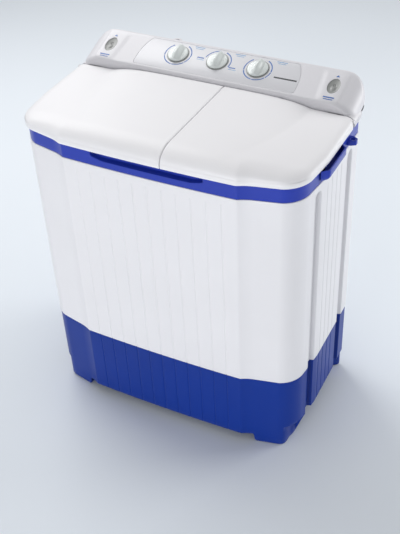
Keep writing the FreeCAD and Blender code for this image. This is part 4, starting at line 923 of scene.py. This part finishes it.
def spaced(total, fine, coarse):
    """Values from 0 to total, closely spaced at both ends."""
    ends = [0.0]
    gap = fine
    while ends[-1] + gap < total / 2 and gap < coarse:
        ends.append(ends[-1] + gap)
        gap *= 1.45
    middle = np.linspace(ends[-1], total - ends[-1], max(2, int((total - 2 * ends[-1]) / coarse)))
    return np.concatenate([ends[:-1], middle, [total - v for v in ends[:-1][::-1]]]) / total


def lid_patch(side, seam_x, inset, u, v):
    """Grid of plan points over one lid, moved inwards from its edges by inset."""
    s_back = PLAN.place(side * HALF_WIDTH, LID_REAR_Y)
    s_mid = PLAN.place(side * CORNER[1][0], CORNER[1][1])
    s_seam = PLAN.place(seam_x, AHEAD_Y)
    if side < 0:
        s_seam = s_seam if s_seam < PLAN.total / 2 else s_seam - PLAN.total
        s_mid, s_back = s_mid - PLAN.total, s_back - PLAN.total
    out = LID_OVERHANG - inset

    def edge(s):
        return PLAN.offset(s, out)
    left = edge(s_back + (s_mid - s_back) * v)
    front = edge(s_mid + (s_seam - s_mid) * u)
    rear_y = LID_REAR_Y - inset
    sx = seam_x + side * inset
    left[:, 1] = np.minimum(left[:, 1], rear_y)
    left[0] = [side * (HALF_WIDTH + out), rear_y]
    front[-1] = [sx, front[-1][1]]
    rear = np.stack([left[0][0] + (sx - left[0][0]) * u, np.full(len(u), rear_y)], 1)
    right = np.stack([np.full(len(v), sx), rear_y + (front[-1][1] - rear_y) * v], 1)
    a, b = u[None, :, None], v[:, None, None]
    grid = (1 - a) * left[:, None] + a * right[:, None] + (1 - b) * rear[None] + b * front[None]
    corners = (1 - a) * (1 - b) * left[0] + a * (1 - b) * rear[-1]
    corners += (1 - a) * b * front[0] + a * b * front[-1]
    return grid - corners


def build_lid(body, side, seam_x):
    """Moulded lid: crowned top sheet, turned-down lip and an inner skin."""
    fine, coarse = 0.8, 4.6
    u = spaced(abs(side * HALF_WIDTH - seam_x), fine, coarse)
    v = spaced(300.0, fine, coarse)
    nu, nv = len(u), len(v)
    top = lid_patch(side, seam_x, 0.0, u, v).reshape(-1, 2)
    top_z = lid_height(top[:, 0], top[:, 1], seam_x)
    low = lid_patch(side, seam_x, LID_WALL, u, v).reshape(-1, 2)
    low_z = lid_height(low[:, 0], low[:, 1], seam_x, LID_WALL)
    index = np.arange(nu * nv).reshape(nv, nu)
    loop = np.concatenate([index[0, :-1], index[:-1, -1], index[-1, :0:-1], index[:0:-1, 0]])
    rim, rim_in = top[loop], low[loop]
    rear = rim[:, 1] > HINGE_Y - 1.0
    bottom = np.where(rear, LID_HINGE_SIDE_Z, LID_BOTTOM_Z)
    inward = rim_in - rim
    inward /= np.maximum(np.linalg.norm(inward, axis=1, keepdims=True), 1e-6)
    rings = []
    for push, z in ((0.0, np.minimum(top_z[loop] - 0.8, LIP_Z - 0.6)), (0.0, bottom + 0.8),
                    (0.25, bottom + 0.25), (0.8, bottom)):
        rings.append(np.column_stack([rim + inward * push, np.maximum(z, bottom)]))
    rings.append(np.column_stack([rim_in, bottom]))
    verts = [np.column_stack([top, top_z])]
    # the top sheet starts a step inside the lip along the outer edge
    outer = (np.abs(rim[:, 0] - seam_x) > 3.0) & ~(rim[:, 1] > LID_REAR_Y - 0.5)
    shifted = rim + inward * np.where(outer, LIP_STEP, 0.0)[:, None]
    verts[0][loop, :2] = shifted
    verts += rings
    verts.append(np.column_stack([low, low_z]))
    starts = np.cumsum([0] + [len(part) for part in verts])
    verts = np.vstack(verts)
    faces = []
    for i in range(nv - 1):
        for j in range(nu - 1):
            quad = (index[i, j], index[i, j + 1], index[i + 1, j + 1], index[i + 1, j])
            faces.append(quad)
            faces.append(tuple(q + starts[-2] for q in quad[::-1]))
    n = len(loop)
    levels = [loop] + [starts[1 + k] + np.arange(n) for k in range(len(rings))] + [starts[-2] + loop]
    for a, b in zip(levels, levels[1:]):
        for j in range(n):
            m = (j + 1) % n
            faces.append((a[j], a[m], b[m], b[j]))
    white = MATERIALS["lid_white"]
    piece = mesh_piece(body + "_shell", verts, faces, white, body, sharp=50.0)
    half = EAR_T / 2 + 1.0
    for x in LID_EARS_X[body]:
        slot = box_cutter((x - half, x + half), (HINGE_Y - 14, HINGE_Y + 20), (740, HINGE_Z + EAR_R))
        boolean(piece, slot)
    plates = []
    for x in LID_EARS_X[body]:
        for sign in (-1, 1):
            middle = x + sign * (EAR_T / 2 + 3.0)
            outline = ear_outline(middle - 2, HINGE_Y, HINGE_Z, LID_TOP_Z - 4.5, EAR_R, math.pi, 13)
            plates.append(prism("plate", outline, (4, 0, 0), white, body))
    join(piece, *plates)
    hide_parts(body)


# Console -----------------------------------------------------------------------------------
def on_face(x, s, n=0.0):
    """Point on the console's sloping face: s up the slope, n out of it."""
    return np.array([x, RISER_Y, FACE_Z]) + FACE_U * s + FACE_N * n


CONSOLE_FOOT_Z = 752.0
CREASE_X = 248.0                  # crease between the console's face and its raised ends


def console_section(x):
    """Rounded (y, z) section of the console at one x, from the front's foot over to the back's."""
    ax = abs(x)

    def inset(radius):
        w = np.clip((ax - (HALF_WIDTH - radius)) / radius, 0, 1)
        return radius * (1 - math.sqrt(1 - w * w))
    y_front = RISER_Y + inset(WRAP_R)
    y_back = CONSOLE_BACK_Y - inset(REAR_R)
    plane = np.array([RISER_Y, FACE_Z]) @ FACE_N[1:] - inset(END_R) * END_DROP / END_R
    knee_r = 6.0 + 10.0 * float(smooth01((ax - 270.0) / 55.0))
    brow_r = 12.0
    shrink = min(1.0, 0.96 * (y_back - y_front) / (knee_r + brow_r))

    def centre(y, radius):
        """Centre of an arc that touches the face, at one y."""
        return np.array([y, (plane - radius - FACE_N[1] * y) / FACE_N[2]])

    def arc(middle, radius, start, end):
        return [tuple(middle + radius * np.array([math.cos(a), math.sin(a)]))
                for a in np.linspace(start, end, 9)]
    knee_r, brow_r = knee_r * shrink, brow_r * shrink
    knee = centre(y_front + knee_r, knee_r)
    brow = centre(y_back - brow_r, brow_r)
    out_of_face = math.atan2(FACE_N[2], FACE_N[1])
    points = [(y_front, z) for z in np.linspace(CONSOLE_FOOT_Z, knee[1], 5)[:-1]]
    points += arc(knee, knee_r, math.pi, out_of_face)
    start, end = knee + knee_r * FACE_N[1:], brow + brow_r * FACE_N[1:]
    points += [tuple(start + (end - start) * t) for t in np.linspace(0, 1, 21)[1:-1]]
    points += arc(brow, brow_r, out_of_face, 0.0)
    points += [(y_back, z) for z in np.linspace(brow[1], 769.0, 4)[1:]]
    points += [(y_back - 1.0, 767.5), (min(y_back, BACK_Y), CONSOLE_FOOT_Z + 1.0),
               (BACK_Y - 4.0, CONSOLE_FOOT_Z)]
    return np.array(points)


def shoulder(points, x):
    """Raises the console's ends a little beyond a crease that runs up the face."""
    rel = points - np.array([RISER_Y, FACE_Z])
    s = rel @ FACE_U[1:]
    n = rel @ FACE_N[1:]
    crease = CREASE_X - 0.1 * np.clip(s, 0, 90)
    across = smooth01((abs(x) - crease) / 16.0) * (1 - smooth01((abs(x) - 296.0) / 24.0))
    along = smooth01((s + 2.0) / 12.0) * smooth01((94.0 - s) / 16.0)
    return points + np.outer(1.4 * across * along * (n > -2.0), FACE_N[1:])


def console_stations():
    inner = list(np.arange(0, 234, 13.0)) + list(np.arange(234, 288, 2.0))
    wrap = [HALF_WIDTH - END_R + END_R * math.sin(a) for a in np.linspace(0.05, math.pi / 2, 40)]
    values = sorted(set(inner + wrap))
    return np.array([-v for v in values[:0:-1]] + values)


def build_console():
    white = MATERIALS["console_white"]
    rings = []
    for x in console_stations():
        section = shoulder(console_section(x), x)
        rings.append(np.column_stack([np.full(len(section), x), section]))
    shell = loop_shell("console_shell", rings, white, closed=False, sharp=50.0)
    join(shell, build_shelf(white))
    pocket = prism("cutter", panel_outline(0.55, -PANEL_T - 0.2), FACE_N * 12.0, white)
    boolean(shell, pocket)
    low, high = node_box("console_back")
    low, high = low - 0.3, high + (0.3, 5.0, 0.3)
    boolean(shell, box_cutter(*zip(low, high)))
    for side in (-1, 1):
        boolean(shell, dimple_cutter(side))
    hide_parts("console_housing")
    for side in (-1, 1):
        build_dimple(side)


def build_shelf(white):
    """Foot of the console: carries the lids' lower edge around the back."""
    s0 = PLAN.place(HALF_WIDTH, RISER_Y)
    s = np.arange(s0, PLAN.total - s0, 2.0)
    inner = [(-282.0, RISER_Y), (-282.0, 150.0), (282.0, 150.0), (282.0, RISER_Y)]
    rings = []
    for d, z in ((0.8, 751.0), (0.0, 751.8), (0.0, 762.6), (LIP_STEP, LIP_Z), (1.6, 765.6),
                 (3.2, 768.4), (5.5, 771.0), (8.5, 773.3), (12.0, 774.9), (15.0, 775.6)):
        run = PLAN.offset(s, LID_OVERHANG - d)
        run = run[run[:, 1] >= RISER_Y]
        rings.append((run, z))
    count = min(len(run) for run, _ in rings)
    full = []
    for run, z in rings:
        t = np.linspace(0, len(run) - 1, count)
        run = np.column_stack([np.interp(t, np.arange(len(run)), run[:, k]) for k in (0, 1)])
        run[0, 1] = run[-1, 1] = RISER_Y
        outline = np.vstack([run, inner])
        full.append(np.column_stack([outline, np.full(len(outline), z)]))
    return loop_shell("shelf", full, white, closed=False)


def panel_outline(grow, n):
    """Outline of the control panel: rounded lower corners, ends that curve in towards the top."""
    half = PANEL_HALF + grow
    s0, s1 = PANEL_S[0] - grow, PANEL_S[1] + grow
    r = 8.0
    right = [(half - r, s0), (half - r * 0.45, s0 + 0.55), (half - 0.6, s0 + r * 0.5), (half, s0 + r)]
    rise = s1 - s0 - r
    for k in range(1, 11):
        t = k / 10.0
        right.append((half - 17.0 * t ** 3, s0 + r + rise * t))
    outline = right + [(-x, s) for x, s in right[::-1]]
    return [on_face(x, s, n) for x, s in outline]


def dimple_cutter(side):
    a, b = DIMPLE_HALF
    outline = [on_face(side * DIMPLE_X + a * math.cos(t), DIMPLE_S + b * math.sin(t), -1.8)
               for t in full_turn(48)]
    return prism("cutter", outline, FACE_N * 12.0, MATERIALS["console_white"])


def build_dimple(side):
    """Grey oval inlay with a dished face and a raised drop in its lower half."""
    rings = []
    for share in (1.0, 0.985, 0.95, 0.88, 0.8, 0.7, 0.6, 0.5, 0.4, 0.3, 0.2, 0.1, 0.03):
        ring = []
        for t in full_turn(64):
            p = DIMPLE_HALF[0] * share * math.cos(t)
            q = DIMPLE_HALF[1] * share * math.sin(t)
            n = 0.5 - 2.0 * (1 - share ** 2) ** 0.8
            bump = 1.9 * math.exp(-((p / 4.6) ** 2 + ((q + 5.0) / 6.5) ** 2) ** 1.6)
            notch = 0.8 * math.exp(-((p / 1.4) ** 2 + ((q - 1.0) / 4.0) ** 2))
            n = min(n + bump - notch, 1.2) if share < 0.97 else n * share
            ring.append(on_face(side * DIMPLE_X + p, DIMPLE_S + q, n))
        rings.append(np.array(ring))
    base = [np.array([p - FACE_N * 1.9 for p in rings[0]])]
    piece = loop_shell("end_inlay_right" if side > 0 else "end_inlay_left", base + rings,
                       MATERIALS["bezel_grey"], closed=False, sharp=60.0)


def flat_print(name, quads, material, lift=0.06, thick=0.14):
    """Thin printed shapes on the panel; each is an outline of (x, s) points."""
    pieces = []
    for outline in quads:
        points = [on_face(x, s, lift - thick) for x, s in outline]
        pieces.append(prism(name, points, FACE_N * thick, material))
    first = join(*pieces)
    first.name = name


def arc_strip(x, radius, width, start, end):
    """Outline of a printed arc around a knob; angles in degrees, 0 to the right, 90 up the slope."""
    turn = np.radians(np.linspace(start, end, max(6, int(abs(end - start) / 4))))
    outer, inner = ([(x + r * math.cos(a), KNOB_S + r * math.sin(a)) for a in turn]
                    for r in (radius + width / 2, radius - width / 2))
    return outer + inner[::-1]


def bar(x, s, length, height):
    return [(x - length / 2, s - height / 2), (x + length / 2, s - height / 2),
            (x + length / 2, s + height / 2), (x - length / 2, s + height / 2)]


def build_panel():
    panel = prism("control_panel_plate", panel_outline(0.0, -PANEL_T), FACE_N * PANEL_T,
                  MATERIALS["panel_white"])
    bevel(panel, 0.35, 2)
    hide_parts("control_panel")
    wash, mode, spin = (KNOBS_X[k] for k in ("wash_timer", "mode", "spin_timer"))
    timer_arcs = ((128, 196), (199, 262), (265, 318), (321, 354), (-4, 62))
    arcs = [arc_strip(x, RING_R, 2.6, a, b) for x in (wash, spin) for a, b in timer_arcs]
    arcs += [arc_strip(mode, RING_R, 2.4, 98, 168), arc_strip(mode, RING_R, 2.6, -18, 70)]
    flat_print("dial_scales", arcs, PRINT_BLUE)
    labels = [bar(mode - 43, 58.0, 17, 3.2), bar(mode + 41, 45.0, 16, 3.2)]
    flat_print("dial_labels", labels, PRINT_BLUE)
    faint = [bar(mode - 42, 52.5, 18, 1.8), bar(mode + 43, 39.5, 19, 1.8)]
    for x in (mode - 57, mode + 45, spin + 47):
        faint += [bar(x, 87.5, 25, 2.4), bar(x + 1, 82.8, 19, 1.8)]
    flat_print("dial_notes", faint, PRINT_PALE)
    flat_print("panel_bar", [bar(spin + 71.0, 42.0, 54, 4.2)], PRINT_DARK)
    marks = []
    for side in (-1, 1):
        x = side * DIMPLE_X
        marks.append([(x - 4.0, DIMPLE_S + 26.5), (x + 4.0, DIMPLE_S + 26.5), (x, DIMPLE_S + 32.0)])
        marks.append(bar(x, DIMPLE_S - 33.5, 25, 3.0))
        marks.append(bar(x, DIMPLE_S - 39.0, 21, 1.8))
    flat_print("end_marks", marks, PRINT_BLUE, lift=1.72, thick=0.4)


# Knobs -------------------------------------------------------------------------------------
def knob_height(p, q):
    """Height of the knob's face at p across and q along the grip."""
    r = np.hypot(p, q)
    disc = 3.6 + 1.6 * (1 - (r / KNOB_R) ** 2)
    half = 5.6 + 1.2 * (1 - np.clip(np.abs(q) / KNOB_R, 0, 1) ** 2)
    side = np.clip((np.abs(p) - half * 0.25) / (half * 1.5), 0, 1)
    flank = (1 - side) ** 1.5 * (1 + 0.8 * side)
    ridge = (KNOB_H - 5.2) * np.clip(1 - 0.5 * (np.abs(q) / KNOB_R) ** 2, 0, 1)
    return disc + ridge * flank


def build_knob(name, x):
    white = MATERIALS["knob_white"]
    body = "mode_switch" if name == "mode" else name
    turn = full_turn(144)

    def height(radius):
        return knob_height(radius * np.cos(turn), radius * np.sin(turn))

    def ring(radius, heights):
        p, q = radius * np.cos(turn), radius * np.sin(turn)
        heights = np.broadcast_to(heights, len(turn))
        return np.array([on_face(x + a, KNOB_S + b, h) for a, b, h in zip(p, q, heights)])
    rings = [ring(KNOB_R - inset, h) for inset, h in ((3.0, 1.6), (1.2, 1.6), (0.7, 1.9))]
    rings += [ring(KNOB_R - 0.7, 1.9 + (height(KNOB_R) - 3.1) * share) for share in (0.35, 0.7, 0.9)]
    rings += [ring(KNOB_R - inset, height(KNOB_R - inset) - drop)
              for inset, drop in ((0.8, 1.0), (1.1, 0.35), (1.8, 0.0))]
    rings += [ring(radius, height(radius)) for radius in np.linspace(KNOB_R - 3.0, 1.0, 19)]
    shell = loop_shell(name + "_grip", rings, white, body, closed=False, sharp=55.0)
    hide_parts(name + "_knob")


def build_bezels():
    profile = [(KNOB_R + d, h) for d, h in
               ((-2.0, -0.05), (-2.0, 0.9), (1.0, 1.15), (1.5, 1.0), (1.8, 0.6), (1.9, -0.05))]
    grey = MATERIALS["bezel_grey"]
    parts = [lathe("ring", profile, on_face(x, KNOB_S), grey, FACE_N, 120)
             for x in KNOBS_X.values()]
    rings = join(*parts)
    rings.name = "bezel_rings"
    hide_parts("knob_bezels")


# CAD nodes that stay -----------------------------------------------------------------------
NODE_LOOKS = {"water_inlet": "console_white"}


def finish_cad_nodes():
    """Gives every shown CAD node the procedural material of its record slot."""
    for name, node in frame["nodes"].items():
        for slot in node.material_slots:
            wanted = slot.material.name.split(".")[0] if slot.material else ""
            slot.material = MATERIALS.get(NODE_LOOKS.get(name, wanted), MATERIALS["grey_plastic"])
        if not node.hide_render:
            smooth = node.modifiers.new("weighted", "WEIGHTED_NORMAL")
            smooth.keep_sharp = True


# Stage -------------------------------------------------------------------------------------
def build_stage():
    mesh = bpy.data.meshes.new("floor")
    far = 9.0
    corners = [(-far, -far, 0), (far, -far, 0), (far, far, 0), (-far, far, 0)]
    mesh.from_pydata(corners, [], [(0, 1, 2, 3)])
    floor = add_object("floor", mesh)
    m = Nodes("studio_floor")
    low, high = opaque(linear((226, 232, 238))), opaque(linear((230, 236, 242)))
    m.feed("Base Color", m.ramp(m.noise(0.6, 2.0), low, high))
    m.feed("Roughness", 0.75)
    mesh.materials.append(m.material)


WORLD_LIGHT = 0.43
LIGHTS = {  # name: place, target, size, power
    "front": ((0.0, -3.6, 0.55), (0.0, 0.0, 0.4), (1.5, 1.0), 50.0),
    "rear_right": ((2.5, 2.1, 1.1), (0.2, 0.0, 0.45), (1.6, 1.6), 50.0),
    "top_left": ((-1.7, 1.0, 2.6), (0.0, 0.0, 0.7), (1.8, 1.8), 48.0),
    "top_rear": ((0.1, 2.0, 2.7), (0.0, 0.0, 0.7), (2.2, 1.6), 5.0),
}


def build_lights():
    for name, (place, target, size, power) in LIGHTS.items():
        lamp = bpy.data.lights.new(name, "AREA")
        lamp.shape = "RECTANGLE"
        lamp.size, lamp.size_y = size
        lamp.energy = power
        obj = add_object(name, lamp)
        obj.location = place
        aim = Vector(target) - Vector(place)
        obj.rotation_euler = aim.to_track_quat("-Z", "Y").to_euler()
    world = bpy.data.worlds.new("studio")
    bpy.context.scene.world = world
    world.use_nodes = True
    background = world.node_tree.nodes["Background"]
    background.inputs["Color"].default_value = (0.97, 0.98, 1.0, 1.0)
    background.inputs["Strength"].default_value = WORLD_LIGHT


def build_camera():
    """Camera above the right front corner, looking down at the machine."""
    yaw, pitch, roll = (math.radians(a) for a in (27.7, 38.43, -2.48))
    level = math.cos(pitch)
    ahead = Vector((-math.sin(yaw) * level, math.cos(yaw) * level, -math.sin(pitch)))
    right = Vector((math.cos(yaw), math.sin(yaw), 0))
    up = right.cross(ahead)
    side = right * math.cos(roll) + up * math.sin(roll)
    above = up * math.cos(roll) - right * math.sin(roll)
    data = bpy.data.cameras.new("camera")
    data.lens = 62.17
    data.shift_x = -0.0204
    camera = add_object("camera", data)
    turn = Matrix((side, above, -ahead)).transposed().to_4x4()
    camera.matrix_world = Matrix.Translation((0.8582, -1.5406, 1.7481)) @ turn
    bpy.context.scene.camera = camera


build_cabinet()
build_base()
build_band()
build_handle(1)
build_handle(-1)
build_hook()
build_lid("wash_lid", -1, SEAM[0])
build_lid("spin_lid", 1, SEAM[1])
build_console()
build_panel()
build_bezels()
for knob_name, knob_x in KNOBS_X.items():
    build_knob(knob_name, knob_x)
finish_cad_nodes()
build_stage()
build_lights()
build_camera()
bpy.context.scene.view_settings.view_transform = "Standard"
